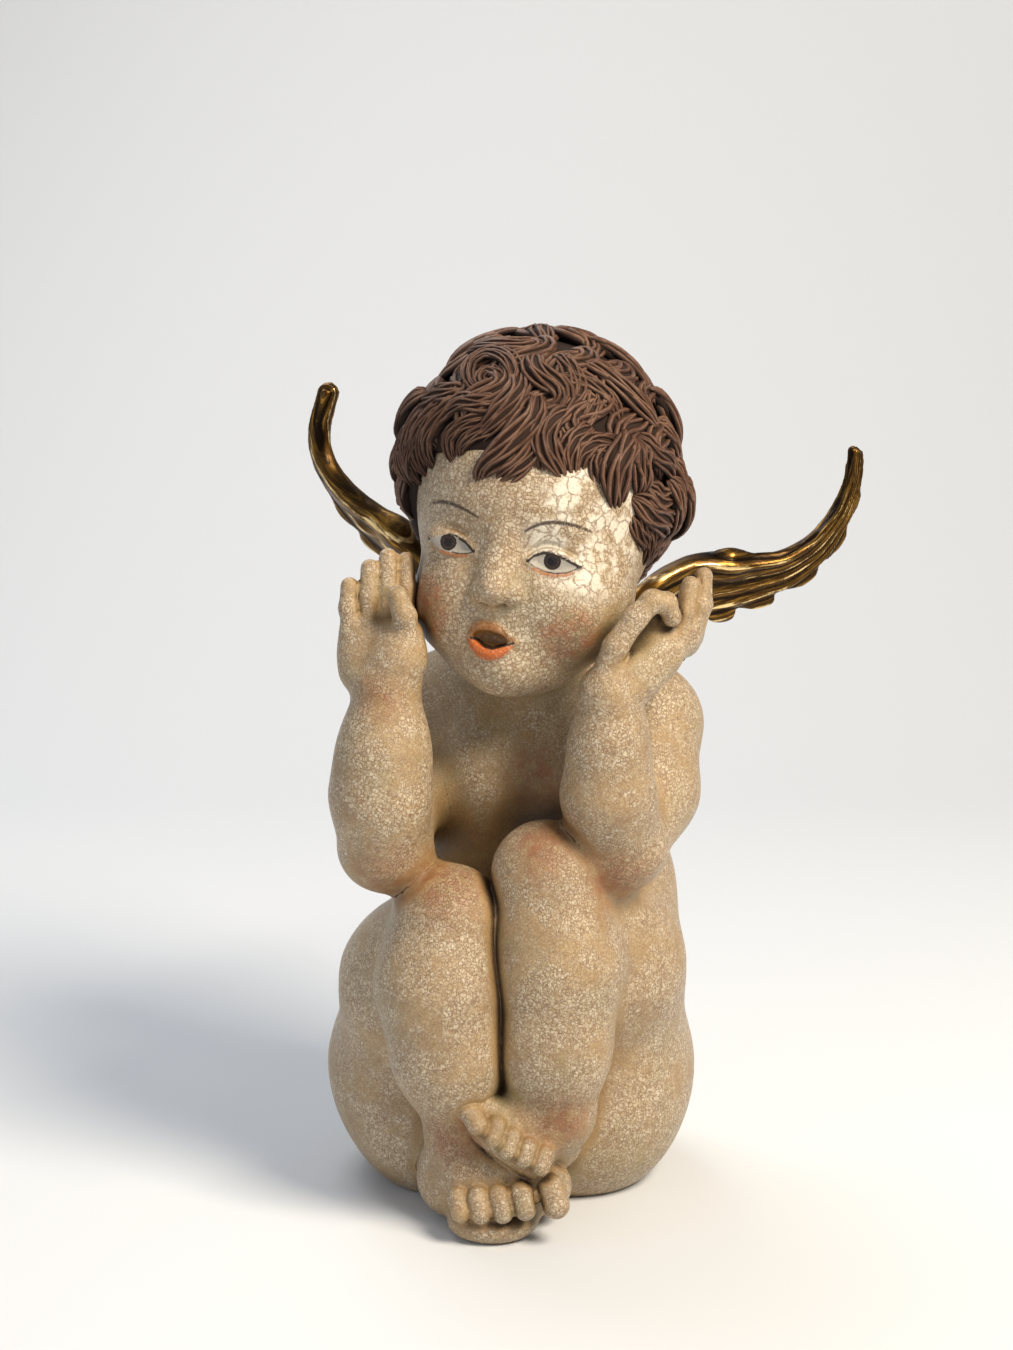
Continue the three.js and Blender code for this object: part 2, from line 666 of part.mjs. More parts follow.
// Samples the field on a grid. A block that is far from the surface is filled with one value, and a
// block that is near it is split in eight, down to single nodes
function sampleField(field, low, high, cell) {
  const count = ['x', 'y', 'z'].map((axis) => Math.ceil((high[axis] - low[axis]) / cell) + 1);
  const [nx, ny, nz] = count;
  const values = new Float32Array(nx * ny * nz);
  const fill = (i, j, k, size) => {
    if (i >= nx || j >= ny || k >= nz) return;
    const middle = size > 1 ? (size - 1) / 2 : 0;
    const value = field(low.x + (i + middle) * cell, low.y + (j + middle) * cell, low.z + (k + middle) * cell);
    const clearance = (size / 2 + 1) * cell * Math.sqrt(3) * 1.25;
    if (size > 1 && Math.abs(value) < clearance) {
      const half = size / 2;
      for (let n = 0; n < 8; n++) fill(i + (n & 1) * half, j + ((n >> 1) & 1) * half, k + (n >> 2) * half, half);
      return;
    }
    const safe = Math.abs(value) < 1e-4 ? 1e-4 : value;
    for (let c = k; c < Math.min(k + size, nz); c++) {
      for (let b = j; b < Math.min(j + size, ny); b++) {
        for (let a = i; a < Math.min(i + size, nx); a++) values[a + nx * (b + ny * c)] = safe;
      }
    }
  };
  const block = 16;
  for (let k = 0; k < nz; k += block) {
    for (let j = 0; j < ny; j += block) {
      for (let i = 0; i < nx; i += block) fill(i, j, k, block);
    }
  }
  return { values, count };
}

const cellCorners = [[0, 0, 0], [1, 0, 0], [1, 1, 0], [0, 1, 0], [0, 0, 1], [1, 0, 1], [1, 1, 1], [0, 1, 1]];
const cellEdges = [[0, 1], [1, 2], [3, 2], [0, 3], [4, 5], [5, 6], [7, 6], [4, 7], [0, 4], [1, 5], [2, 6], [3, 7]];

function marchingCubes(field, low, high, cell) {
  const { values, count } = sampleField(field, low, high, cell);
  const [nx, ny, nz] = count;
  const nodeAt = (a, b, c) => a + nx * (b + ny * c);
  const points = [];
  const faces = [];
  const known = new Map();
  for (let c = 0; c < nz - 1; c++) {
    for (let b = 0; b < ny - 1; b++) {
      for (let a = 0; a < nx - 1; a++) {
        let pattern = 0;
        for (let n = 0; n < 8; n++) {
          const [i, j, k] = cellCorners[n];
          if (values[nodeAt(a + i, b + j, c + k)] < 0) pattern |= 1 << n;
        }
        const crossed = edgeTable[pattern];
        if (!crossed) continue;
        const onEdge = cellEdges.map(([from, to], n) => {
          if (!(crossed & (1 << n))) return -1;
          const [i, j, k] = cellCorners[from];
          const first = nodeAt(a + i, b + j, c + k);
          const second = nodeAt(a + cellCorners[to][0], b + cellCorners[to][1], c + cellCorners[to][2]);
          const axis = n >= 8 ? 2 : n % 2;
          const key = first * 3 + axis;
          if (!known.has(key)) {
            const t = values[first] / (values[first] - values[second]);
            const place = [a + i, b + j, c + k];
            place[axis] += Math.min(0.995, Math.max(0.005, t));
            known.set(key, points.length / 3);
            points.push(low.x + place[0] * cell, low.y + place[1] * cell, low.z + place[2] * cell);
          }
          return known.get(key);
        });
        for (let n = pattern * 16; triTable[n] !== -1; n += 3) {
          faces.push(onEdge[triTable[n]], onEdge[triTable[n + 1]], onEdge[triTable[n + 2]]);
        }
      }
    }
  }
  return { points, faces };
}

// Six times the volume under a face, signed
function wedge(points, a, b, c) {
  const [ax, ay, az] = points.slice(3 * a, 3 * a + 3);
  const [bx, by, bz] = points.slice(3 * b, 3 * b + 3);
  const [cx, cy, cz] = points.slice(3 * c, 3 * c + 3);
  return ax * (by * cz - bz * cy) + ay * (bz * cx - bx * cz) + az * (bx * cy - by * cx);
}

// Keeps the largest shell, so that pockets closed in between the limbs are solid, and turns it outwards
function largestShell({ points, faces }) {
  const group = Int32Array.from({ length: points.length / 3 }, (_, i) => i);
  const rootOf = (v) => {
    while (group[v] !== v) {
      group[v] = group[group[v]];
      v = group[v];
    }
    return v;
  };
  for (let f = 0; f < faces.length; f += 3) {
    group[rootOf(faces[f])] = rootOf(faces[f + 1]);
    group[rootOf(faces[f + 1])] = rootOf(faces[f + 2]);
  }
  const volumes = new Map();
  for (let f = 0; f < faces.length; f += 3) {
    const root = rootOf(faces[f]);
    volumes.set(root, (volumes.get(root) ?? 0) + wedge(points, faces[f], faces[f + 1], faces[f + 2]));
  }
  const [best, volume] = [...volumes].reduce((a, b) => (Math.abs(b[1]) > Math.abs(a[1]) ? b : a));
  const renumber = new Map();
  const shell = { points: [], faces: [] };
  for (let f = 0; f < faces.length; f += 3) {
    if (rootOf(faces[f]) !== best) continue;
    const corners = volume > 0 ? [0, 1, 2] : [0, 2, 1];
    for (const corner of corners) {
      const v = faces[f + corner];
      if (!renumber.has(v)) {
        renumber.set(v, shell.points.length / 3);
        shell.points.push(points[3 * v], points[3 * v + 1], points[3 * v + 2]);
      }
      shell.faces.push(renumber.get(v));
    }
  }
  return shell;
}

// A queue that gives the cheapest entry first
class CheapestFirst {
  constructor() {
    this.items = [];
  }

  push(item) {
    const { items } = this;
    let i = items.push(item) - 1;
    while (i > 0) {
      const up = (i - 1) >> 1;
      if (items[up].cost <= items[i].cost) break;
      [items[up], items[i]] = [items[i], items[up]];
      i = up;
    }
  }

  pop() {
    const { items } = this;
    const top = items[0];
    const last = items.pop();
    if (items.length) {
      items[0] = last;
      let i = 0;
      for (;;) {
        const left = 2 * i + 1;
        if (left >= items.length) break;
        const right = left + 1;
        const low = right < items.length && items[right].cost < items[left].cost ? right : left;
        if (items[i].cost <= items[low].cost) break;
        [items[low], items[i]] = [items[i], items[low]];
        i = low;
      }
    }
    return top;
  }
}

// Thins a closed mesh by joining the ends of the edges whose loss changes the surface least.
// Each point keeps the sum of its faces' planes as ten numbers, which gives the error of any place.
// Where care is above one, more of the triangles are kept.
function thinOut({ points, faces }, wanted, care) {
  const vertexCount = points.length / 3;
  const place = Float64Array.from(points);
  const corner = Int32Array.from(faces);
  const alive = new Uint8Array(faces.length / 3).fill(1);
  const planes = new Float64Array(10 * vertexCount);
  const stamp = new Int32Array(vertexCount);
  const around = Array.from({ length: vertexCount }, () => []);
  let left = faces.length / 3;

  const normalOf = (a, b, c) => {
    const [ux, uy, uz] = [0, 1, 2].map((i) => b[i] - a[i]);
    const [vx, vy, vz] = [0, 1, 2].map((i) => c[i] - a[i]);
    return [uy * vz - uz * vy, uz * vx - ux * vz, ux * vy - uy * vx];
  };
  const placeOf = (v) => [place[3 * v], place[3 * v + 1], place[3 * v + 2]];

  for (let f = 0; f < alive.length; f++) {
    const [a, b, c] = [corner[3 * f], corner[3 * f + 1], corner[3 * f + 2]];
    const n = normalOf(placeOf(a), placeOf(b), placeOf(c));
    const size = Math.hypot(...n) || 1e-12;
    const [nx, ny, nz] = n.map((value) => value / size);
    const away = -(nx * place[3 * a] + ny * place[3 * a + 1] + nz * place[3 * a + 2]);
    const terms = [nx * nx, nx * ny, nx * nz, nx * away, ny * ny, ny * nz, ny * away, nz * nz, nz * away, away * away];
    const weight = (size / 2) * care(place[3 * a], place[3 * a + 1], place[3 * a + 2]);
    for (const v of [a, b, c]) {
      around[v].push(f);
      for (let i = 0; i < 10; i++) planes[10 * v + i] += terms[i] * weight;
    }
  }

  const errorAt = (q, x, y, z) =>
    q[0] * x * x + 2 * q[1] * x * y + 2 * q[2] * x * z + 2 * q[3] * x + q[4] * y * y +
    2 * q[5] * y * z + 2 * q[6] * y + q[7] * z * z + 2 * q[8] * z + q[9];

  const join = (a, b) => {
    const q = [];
    for (let i = 0; i < 10; i++) q.push(planes[10 * a + i] + planes[10 * b + i]);
    const pa = placeOf(a);
    const pb = placeOf(b);
    const middle = pa.map((value, i) => (value + pb[i]) / 2);
    const span = Math.hypot(pa[0] - pb[0], pa[1] - pb[1], pa[2] - pb[2]);
    const tries = [pa, pb, middle];
    const det =
      q[0] * (q[4] * q[7] - q[5] * q[5]) - q[1] * (q[1] * q[7] - q[5] * q[2]) + q[2] * (q[1] * q[5] - q[4] * q[2]);
    if (Math.abs(det) > 1e-4 * (q[0] + q[4] + q[7]) ** 3) {
      const x = -(q[3] * (q[4] * q[7] - q[5] * q[5]) - q[1] * (q[6] * q[7] - q[5] * q[8]) + q[2] * (q[6] * q[5] - q[4] * q[8])) / det;
      const y = -(q[0] * (q[6] * q[7] - q[5] * q[8]) - q[3] * (q[1] * q[7] - q[5] * q[2]) + q[2] * (q[1] * q[8] - q[6] * q[2])) / det;
      const z = -(q[0] * (q[4] * q[8] - q[6] * q[5]) - q[1] * (q[1] * q[8] - q[6] * q[2]) + q[3] * (q[1] * q[5] - q[4] * q[2])) / det;
      if (Math.hypot(x - middle[0], y - middle[1], z - middle[2]) < 1.5 * span) tries.push([x, y, z]);
    }
    let target = middle;
    let error = Infinity;
    for (const spot of tries) {
      const e = errorAt(q, ...spot);
      if (e < error - 1e-12) {
        error = e;
        target = spot;
      }
    }
    return { cost: Math.max(error, 0) + 2e-4 * span * span, a, b, target, stampA: stamp[a], stampB: stamp[b] };
  };

  const queue = new CheapestFirst();
  const neighbours = (v) => {
    const found = new Set();
    for (const f of around[v]) for (let i = 0; i < 3; i++) found.add(corner[3 * f + i]);
    found.delete(v);
    return found;
  };
  for (let v = 0; v < vertexCount; v++) for (const n of neighbours(v)) if (v < n) queue.push(join(v, n));

  const turnsOver = (v, other, target) => {
    for (const f of around[v]) {
      const ids = [corner[3 * f], corner[3 * f + 1], corner[3 * f + 2]];
      if (ids.includes(other)) continue;
      const before = ids.map(placeOf);
      const after = before.map((spot, i) => (ids[i] === v ? target : spot));
      const n0 = normalOf(...before);
      const n1 = normalOf(...after);
      const size0 = Math.hypot(...n0);
      const size1 = Math.hypot(...n1);
      const longest = Math.max(...after.map((spot, i) => Math.hypot(...spot.map((value, k) => value - after[(i + 1) % 3][k]))));
      if (size1 < 0.06 * longest * longest && size1 < size0) return true;
      if (n0[0] * n1[0] + n0[1] * n1[1] + n0[2] * n1[2] < 0.35 * size0 * size1) return true;
    }
    return false;
  };

  while (left > wanted && queue.items.length) {
    const { a, b, target, stampA, stampB } = queue.pop();
    if (stamp[a] !== stampA || stamp[b] !== stampB || !around[a].length || !around[b].length) continue;
    const nearA = neighbours(a);
    const shared = [...neighbours(b)].filter((v) => nearA.has(v));
    if (shared.length !== 2 || turnsOver(a, b, target) || turnsOver(b, a, target)) continue;
    for (const f of [...around[b]]) {
      const ids = [corner[3 * f], corner[3 * f + 1], corner[3 * f + 2]];
      if (ids.includes(a)) {
        alive[f] = 0;
        left -= 1;
        for (const v of ids) around[v] = around[v].filter((g) => g !== f);
      } else {
        corner[3 * f + ids.indexOf(b)] = a;
        around[a].push(f);
      }
    }
    around[b] = [];
    place.set(target, 3 * a);
    for (let i = 0; i < 10; i++) planes[10 * a + i] += planes[10 * b + i];
    stamp[a] += 1;
    for (const n of neighbours(a)) queue.push(join(a, n));
  }

  const kept = { points: Array.from(place), faces: [] };
  for (let f = 0; f < alive.length; f++) if (alive[f]) kept.faces.push(corner[3 * f], corner[3 * f + 1], corner[3 * f + 2]);
  return largestShell(kept);
}

function meshOf(field, low, high, cell, wanted, care) {
  return thinOut(largestShell(marchingCubes(field, low, high, cell)), wanted, care);
}

// Solids that can be cut

const wasm = await Module();
wasm.setup();

function solidOf({ points, faces }) {
  return new wasm.Manifold(
    new wasm.Mesh({ numProp: 3, vertProperties: Float32Array.from(points), triVerts: Uint32Array.from(faces) }),
  );
}

// The same shell, moved outwards by a distance
function grown({ points, faces }, distance) {
  const geometry = new THREE.BufferGeometry();
  geometry.setAttribute('position', new THREE.Float32BufferAttribute(points, 3));
  geometry.setIndex(faces);
  geometry.computeVertexNormals();
  const outwards = geometry.getAttribute('normal').array;
  return { points: points.map((value, i) => value + outwards[i] * distance), faces };
}

function geometryOf(solid) {
  const { vertProperties, triVerts } = solid.getMesh();
  const geometry = new THREE.BufferGeometry();
  geometry.setAttribute('position', new THREE.BufferAttribute(vertProperties, 3));
  geometry.setIndex(new THREE.BufferAttribute(triVerts, 1));
  geometry.computeVertexNormals();
  return geometry;
}

// The box around a spine, with room for the feathers
function wingRoom(spine) {
  const box = new THREE.Box3().setFromPoints(spine.stations.map(({ point }) => point));
  box.expandByScalar(0.5 * spine.length);
  return box;
}

// The largest piece of a cut solid
function mainPiece(solid) {
  return solid.decompose().reduce((a, b) => (b.volume() > a.volume() ? b : a));
}

const paintedWood = new THREE.MeshStandardMaterial({ color: 0xb9a385, roughness: 0.55, metalness: 0 });
const gilding = new THREE.MeshStandardMaterial({ color: 0x8a6a2c, roughness: 0.32, metalness: 1 });

const statue = new THREE.Group();

// The features, the fingers and the toes are small, and keep more of their triangles
const fineParts = [
  { region: ball(at(-2, -50, 202), 30 * share), care: 9 },
  { region: ball(at(-38, -38, 192), 22 * share), care: 3 },
  { region: ball(at(50, -36, 190), 24 * share), care: 3 },
  { region: egg(at(3, -58, 24), sized(26, 14, 26)), care: 4 },
];
const careAt = (x, y, z) => fineParts.reduce((most, { region, care }) => (region(x, y, z) < 0 ? Math.max(most, care) : most), 1);

const figureShell = meshOf(
  figureForm(),
  at(-66, -80, -3.1),
  at(78, 76, 292),
  figureCell * share,
  figureTriangles,
  careAt,
);
const seatPlane = 0.02;
figureShell.points.forEach((value, i) => {
  if (i % 3 === 2 && Math.abs(value) < seatPlane) figureShell.points[i] = 0;
});
const figure = new THREE.Mesh(geometryOf(solidOf(figureShell)), paintedWood);
figure.name = 'figure';
statue.add(figure);

const room = solidOf(grown(figureShell, rootGap));
const wings = [
  { name: 'right_wing', spine: rightSpine, tipRadius: rightTipRadius },
  { name: 'left_wing', spine: leftSpine, tipRadius: leftTipRadius },
];
for (const { name, spine, tipRadius } of wings) {
  const box = wingRoom(spine);
  const shell = meshOf(wingForm(spine, tipRadius), box.min, box.max, wingCell * share, wingTriangles, () => 1);
  const wing = new THREE.Mesh(geometryOf(mainPiece(solidOf(shell).subtract(room))), gilding);
  wing.name = name;
  statue.add(wing);
}

export default statue;
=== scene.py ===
"""A carved, painted and gilded wooden cherub, 280 mm high, seated with its chin on its hands.

The body, the head and the hair are skins that lie on forms: balls, eggs and bones that are fused and
carved. Rough blocks of the same forms are joined first, and every point is then moved onto the form.
"""
import logging
import math
from dataclasses import dataclass, field
from enum import Enum
from functools import cached_property, reduce

import bmesh
import bpy
import numpy as np
from mathutils import Matrix, Vector


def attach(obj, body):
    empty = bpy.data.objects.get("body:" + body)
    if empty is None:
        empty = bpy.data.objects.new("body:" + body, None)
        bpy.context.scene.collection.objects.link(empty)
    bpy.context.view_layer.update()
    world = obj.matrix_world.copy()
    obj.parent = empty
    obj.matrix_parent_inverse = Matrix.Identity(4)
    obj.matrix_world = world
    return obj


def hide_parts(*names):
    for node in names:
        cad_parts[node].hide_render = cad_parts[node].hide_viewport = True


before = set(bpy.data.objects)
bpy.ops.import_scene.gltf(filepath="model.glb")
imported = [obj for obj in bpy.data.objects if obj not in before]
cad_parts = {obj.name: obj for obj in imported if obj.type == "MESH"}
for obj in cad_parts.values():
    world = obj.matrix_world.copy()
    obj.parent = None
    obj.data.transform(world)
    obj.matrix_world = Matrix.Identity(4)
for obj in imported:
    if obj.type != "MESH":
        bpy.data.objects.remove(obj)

log = logging.getLogger("cherub")
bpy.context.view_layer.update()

Point = tuple[float, float, float]
Station = tuple[float, float, float, float]
Colour = tuple[float, float, float, float]
Material = bpy.types.Material
Socket = bpy.types.NodeSocket
METRE = 0.001


# Forms: signed distances in millimetres, negative inside


class Form:
    """A solid form in millimetres."""

    def distance(self, p: np.ndarray) -> np.ndarray:
        """Gives the signed distance of each point.

        Args:
            p: points, one a row.

        Returns:
            One distance a point, negative inside.
        """
        raise NotImplementedError

    def rough_out(self, bm: bmesh.types.BMesh, place: Matrix) -> None:
        """Adds plain blocks about as large as the form.

        Args:
            bm: the mesh that takes the blocks.
            place: where the form's own frame stands.
        """


@dataclass(frozen=True)
class Ball(Form):
    """A ball."""

    centre: Point
    radius: float

    def distance(self, p: np.ndarray) -> np.ndarray:
        """The distance to the ball's surface."""
        return np.linalg.norm(p - np.array(self.centre), axis=1) - self.radius

    def rough_out(self, bm: bmesh.types.BMesh, place: Matrix) -> None:
        """Adds an icosphere."""
        bmesh.ops.create_icosphere(
            bm, subdivisions=3, radius=self.radius, matrix=place @ Matrix.Translation(self.centre)
        )


@dataclass(frozen=True)
class Egg(Form):
    """An ellipsoid with its axes along the frame's."""

    centre: Point
    radii: Point

    def distance(self, p: np.ndarray) -> np.ndarray:
        """The distance to the egg's surface, good close to it.

        Args:
            p: the points, one a row.

        Returns:
            One distance a point, negative inside.
        """
        radii = np.array(self.radii)
        q = (p - np.array(self.centre)) / radii
        near = np.linalg.norm(q, axis=1)
        slope = np.maximum(np.linalg.norm(q / radii, axis=1), 1e-9)
        return near * (near - 1.0) / slope

    def rough_out(self, bm: bmesh.types.BMesh, place: Matrix) -> None:
        """Adds a scaled icosphere."""
        shape = Matrix.Translation(self.centre) @ Matrix.Diagonal((*self.radii, 1.0))
        bmesh.ops.create_icosphere(bm, subdivisions=4, radius=1.0, matrix=place @ shape)


@dataclass(frozen=True)
class Bone(Form):
    """A straight stretch of limb, whose radius goes from one end's to the other's."""

    start: Station
    end: Station

    def distance(self, p: np.ndarray) -> np.ndarray:
        """The distance to the stretch's surface.

        Args:
            p: the points, one a row.

        Returns:
            One distance a point, negative inside.
        """
        a = np.array(self.start[:3])
        along = np.array(self.end[:3]) - a
        t = np.clip((p - a) @ along / (along @ along), 0.0, 1.0)
        gap = np.linalg.norm(p - a - t[:, None] * along, axis=1)
        return gap - self.start[3] - t * (self.end[3] - self.start[3])

    def rough_out(self, bm: bmesh.types.BMesh, place: Matrix) -> None:
        """Adds a ball at each end and a cone between them.

        Args:
            bm: the mesh that takes the blocks.
            place: where the form's own frame stands.
        """
        for station in (self.start, self.end):
            bmesh.ops.create_icosphere(
                bm, subdivisions=2, radius=station[3], matrix=place @ Matrix.Translation(station[:3])
            )
        a, b = Vector(self.start[:3]), Vector(self.end[:3])
        turn = (b - a).to_track_quat("Z", "Y").to_matrix().to_4x4()
        bmesh.ops.create_cone(
            bm, cap_ends=True, segments=16, radius1=self.start[3], radius2=self.end[3],
            depth=(b - a).length, matrix=place @ Matrix.Translation((a + b) / 2) @ turn,
        )


def blend(a: np.ndarray, b: np.ndarray, soft: float) -> np.ndarray:
    """Joins two distances with a fillet.

    Args:
        a: the first distances.
        b: the second distances.
        soft: about the fillet's width.

    Returns:
        The joined distances.
    """
    near = np.maximum(soft - np.abs(a - b), 0.0) / soft
    return np.minimum(a, b) - near * near * soft / 4.0


@dataclass(frozen=True)
class Fuse(Form):
    """Several forms joined with fillets."""

    soft: float
    forms: tuple[Form, ...]

    def distance(self, p: np.ndarray) -> np.ndarray:
        """The distance to the joined surface."""
        return reduce(lambda a, b: blend(a, b, self.soft), (form.distance(p) for form in self.forms))

    def rough_out(self, bm: bmesh.types.BMesh, place: Matrix) -> None:
        """Adds the blocks of every form."""
        for form in self.forms:
            form.rough_out(bm, place)


@dataclass(frozen=True)
class Carved(Form):
    """A form with another cut out of it, with soft edges."""

    body: Form
    tool: Form
    soft: float

    def distance(self, p: np.ndarray) -> np.ndarray:
        """The distance to the carved surface."""
        return -blend(-self.body.distance(p), self.tool.distance(p), self.soft)

    def rough_out(self, bm: bmesh.types.BMesh, place: Matrix) -> None:
        """Adds the blocks of the uncut form."""
        self.body.rough_out(bm, place)


@dataclass(frozen=True)
class Placed(Form):
    """A form in a frame of its own."""

    form: Form
    place: Matrix

    def distance(self, p: np.ndarray) -> np.ndarray:
        """The distance, measured in the form's own frame."""
        return self.form.distance(moved(p, self.place.inverted()))

    def rough_out(self, bm: bmesh.types.BMesh, place: Matrix) -> None:
        """Adds the form's blocks in its own frame."""
        self.form.rough_out(bm, place @ self.place)


@dataclass(frozen=True)
class Near(Form):
    """A form that is measured only near a ball that holds it, to save time."""

    form: Form
    bound: Ball
    margin: float = 14.0

    def distance(self, p: np.ndarray) -> np.ndarray:
        """The form's distance near the ball, and the ball's own elsewhere.

        Args:
            p: the points, one a row.

        Returns:
            One distance a point, negative inside.
        """
        d = self.bound.distance(p)
        near = d < self.margin
        if near.any():
            d[near] = self.form.distance(p[near])
        return d

    def rough_out(self, bm: bmesh.types.BMesh, place: Matrix) -> None:
        """Adds the form's blocks."""
        self.form.rough_out(bm, place)


@dataclass(frozen=True)
class UnderLines(Form):
    """What lies under every one of several lines, which run back across the head and slope down."""

    lines: tuple[tuple[float, float, float], ...]

    def distance(self, p: np.ndarray) -> np.ndarray:
        """The distance, from each line's slope and one of its points.

        Args:
            p: the points, one a row.

        Returns:
            One distance a point, negative inside.
        """
        _, back, up = p.T
        rises = [(slope * (back - y) + up - z) / math.hypot(slope, 1.0) for slope, y, z in self.lines]
        return np.max(rises, axis=0)


def moved(p: np.ndarray, place: Matrix) -> np.ndarray:
    """Moves points by a matrix.

    Args:
        p: points, one a row.
        place: the matrix.

    Returns:
        The moved points.
    """
    m = np.array(place)
    return p @ m[:3, :3].T + m[:3, 3]


def limb(soft: float, *stations: Station) -> Fuse:
    """A limb through several places, each with a radius.

    Args:
        soft: the width of the fillets at its joints.
        stations: the places and radii.

    Returns:
        The limb.
    """
    return Fuse(soft, tuple(Bone(a, b) for a, b in zip(stations, stations[1:])))


def eased(knots: np.ndarray, count: int, passes: int) -> np.ndarray:
    """Draws a smooth line near its knots, with its two ends kept.

    Args:
        knots: the knots, one a row.
        count: how many points the line gets.
        passes: how often each point is drawn to its neighbours.

    Returns:
        The line's points, one a row.
    """
    steps = np.linalg.norm(np.diff(knots, axis=0), axis=1)
    at_knot = np.concatenate([[0], np.cumsum(steps)]) / steps.sum()
    line = np.stack([np.interp(np.linspace(0, 1, count), at_knot, column) for column in knots.T], axis=1)
    for _ in range(passes):
        line[1:-1] = 0.25 * line[:-2] + 0.5 * line[1:-1] + 0.25 * line[2:]
    return line


# From a form to a skin

EVENLY = {"factor": 0.5, "use_axis_x": True, "use_axis_y": True, "use_axis_z": True}
PROBES = np.array([(1, -1, -1), (-1, -1, 1), (-1, 1, -1), (1, 1, 1)], float)


def slope_of(form: Form, p: np.ndarray, reach: float = 0.12) -> tuple[np.ndarray, np.ndarray]:
    """Measures a form at points, by four probes around each.

    Args:
        form: the form.
        p: the points.
        reach: how far the probes stand off, in millimetres.

    Returns:
        The distances and the outward slopes.
    """
    found = np.stack([form.distance(p + reach * probe) for probe in PROBES])
    return found.mean(axis=0), np.einsum("kn,kd->nd", found, PROBES) / (4.0 * reach)


def settle(p: np.ndarray, form: Form, steps: int, most: float) -> np.ndarray:
    """Moves points onto a form.

    Args:
        p: the points.
        form: the form.
        steps: how many times each may move.
        most: the longest move in a step, in millimetres.

    Returns:
        The points on the form.
    """
    p = p.copy()
    live = np.arange(len(p))
    for _ in range(steps):
        gap, slope = slope_of(form, p[live])
        steep = np.maximum((slope * slope).sum(axis=1), 0.2)
        p[live] -= (np.clip(gap, -most, most) / steep)[:, None] * slope
        live = live[np.abs(gap) > 0.01]
        if not len(live):
            break
    return p


def openness(p: np.ndarray, normals: np.ndarray, form: Form, reaches: tuple[float, ...]) -> np.ndarray:
    """Tells how open the surface lies: one on a swell, and towards nought in a crease.

    Args:
        p: points on the surface.
        normals: their outward normals.
        form: what stands around them.
        reaches: how far out to look, in millimetres.

    Returns:
        One share a point.
    """
    shares = [np.clip(form.distance(p + normals * reach) / reach, 0.0, 1.0) for reach in reaches]
    return np.mean(shares, axis=0)


def glow(p: np.ndarray, spots: tuple[Ball, ...], soft: float) -> np.ndarray:
    """Spreads a warm colour around several places.

    Args:
        p: the points.
        spots: the places, each with how far its colour reaches.
        soft: the share of a spot that its edge takes.

    Returns:
        One share a point.
    """
    return np.max([np.clip(-spot.distance(p) / (soft * spot.radius), 0, 1) for spot in spots], axis=0)


def places_of(bm: bmesh.types.BMesh) -> np.ndarray:
    """The places of a mesh's points, one a row."""
    return np.array([v.co for v in bm.verts], float).reshape(-1, 3)


def put_back(bm: bmesh.types.BMesh, p: np.ndarray) -> None:
    """Gives a mesh's points new places.

    Args:
        bm: the mesh.
        p: the places, one a row.
    """
    for vert, place in zip(bm.verts, p):
        vert.co = place


@dataclass
class Skin:
    """A closed skin over a form."""

    form: Form
    cell: float
    finer: list[Form] = field(default_factory=list)
    most: float = 2.0

    def rough_block(self) -> bmesh.types.BMesh:
        """Joins the form's rough blocks into one even closed mesh.

        Returns:
            The mesh, in millimetres.
        """
        bm = bmesh.new()
        self.form.rough_out(bm, Matrix.Identity(4))
        return even_skin(bm, self.cell)

    def carve(self) -> bmesh.types.BMesh:
        """Moves an even mesh onto the form, and divides it where finer work is wanted.

        Returns:
            The carved skin, in millimetres.
        """
        bm = self.rough_block()
        put_back(bm, settle(places_of(bm), self.form, 5, self.most))
        for _ in range(2):
            bmesh.ops.smooth_vert(bm, verts=bm.verts, **EVENLY)
            put_back(bm, settle(places_of(bm), self.form, 2, self.most))
        for region in self.finer:
            middles = np.array([f.calc_center_median() for f in bm.faces])
            inside = region.distance(middles) < 0.0
            edges = {e for f, chosen in zip(bm.faces, inside) if chosen for e in f.edges}
            bmesh.ops.subdivide_edges(bm, edges=list(edges), cuts=1, use_grid_fill=True)
            put_back(bm, settle(places_of(bm), self.form, 2, self.most / 2.0))
            near = [v for v, gap in zip(bm.verts, region.distance(places_of(bm))) if gap < 0.0]
            bmesh.ops.smooth_vert(bm, verts=near, **EVENLY)
            put_back(bm, settle(places_of(bm), self.form, 2, self.most / 2.0))
        keep_largest(bm)
        return bm


def even_skin(bm: bmesh.types.BMesh, cell: float) -> bmesh.types.BMesh:
    """Joins overlapping closed shells into one skin of even squares.

    Args:
        bm: the shells, freed here.
        cell: the side of a square.

    Returns:
        The skin.
    """
    mesh = bpy.data.meshes.new("rough_block")
    bm.to_mesh(mesh)
    bm.free()
    block = bpy.data.objects.new("rough_block", mesh)
    bpy.context.scene.collection.objects.link(block)
    remesh = block.modifiers.new("even", "REMESH")
    remesh.mode = "VOXEL"
    remesh.voxel_size = cell
    bpy.context.view_layer.update()
    even = bmesh.new()
    even.from_object(block, bpy.context.evaluated_depsgraph_get())
    bpy.data.objects.remove(block)
    bpy.data.meshes.remove(mesh)
    return even


def keep_largest(bm: bmesh.types.BMesh) -> None:
    """Deletes every shell but the one with the most points.

    Args:
        bm: the mesh.
    """
    unseen = set(bm.verts)
    shells = []
    while unseen:
        heap = [unseen.pop()]
        shell = []
        while heap:
            vert = heap.pop()
            shell.append(vert)
            for edge in vert.link_edges:
                other = edge.other_vert(vert)
                if other in unseen:
                    unseen.discard(other)
                    heap.append(other)
        shells.append(shell)
    shells.sort(key=len)
    for shell in shells[:-1]:
        bmesh.ops.delete(bm, geom=shell, context="VERTS")


class Slot(Enum):
    """The record's material slots."""

    PAINT = "painted_wood"
    GILT = "gilded_wood"


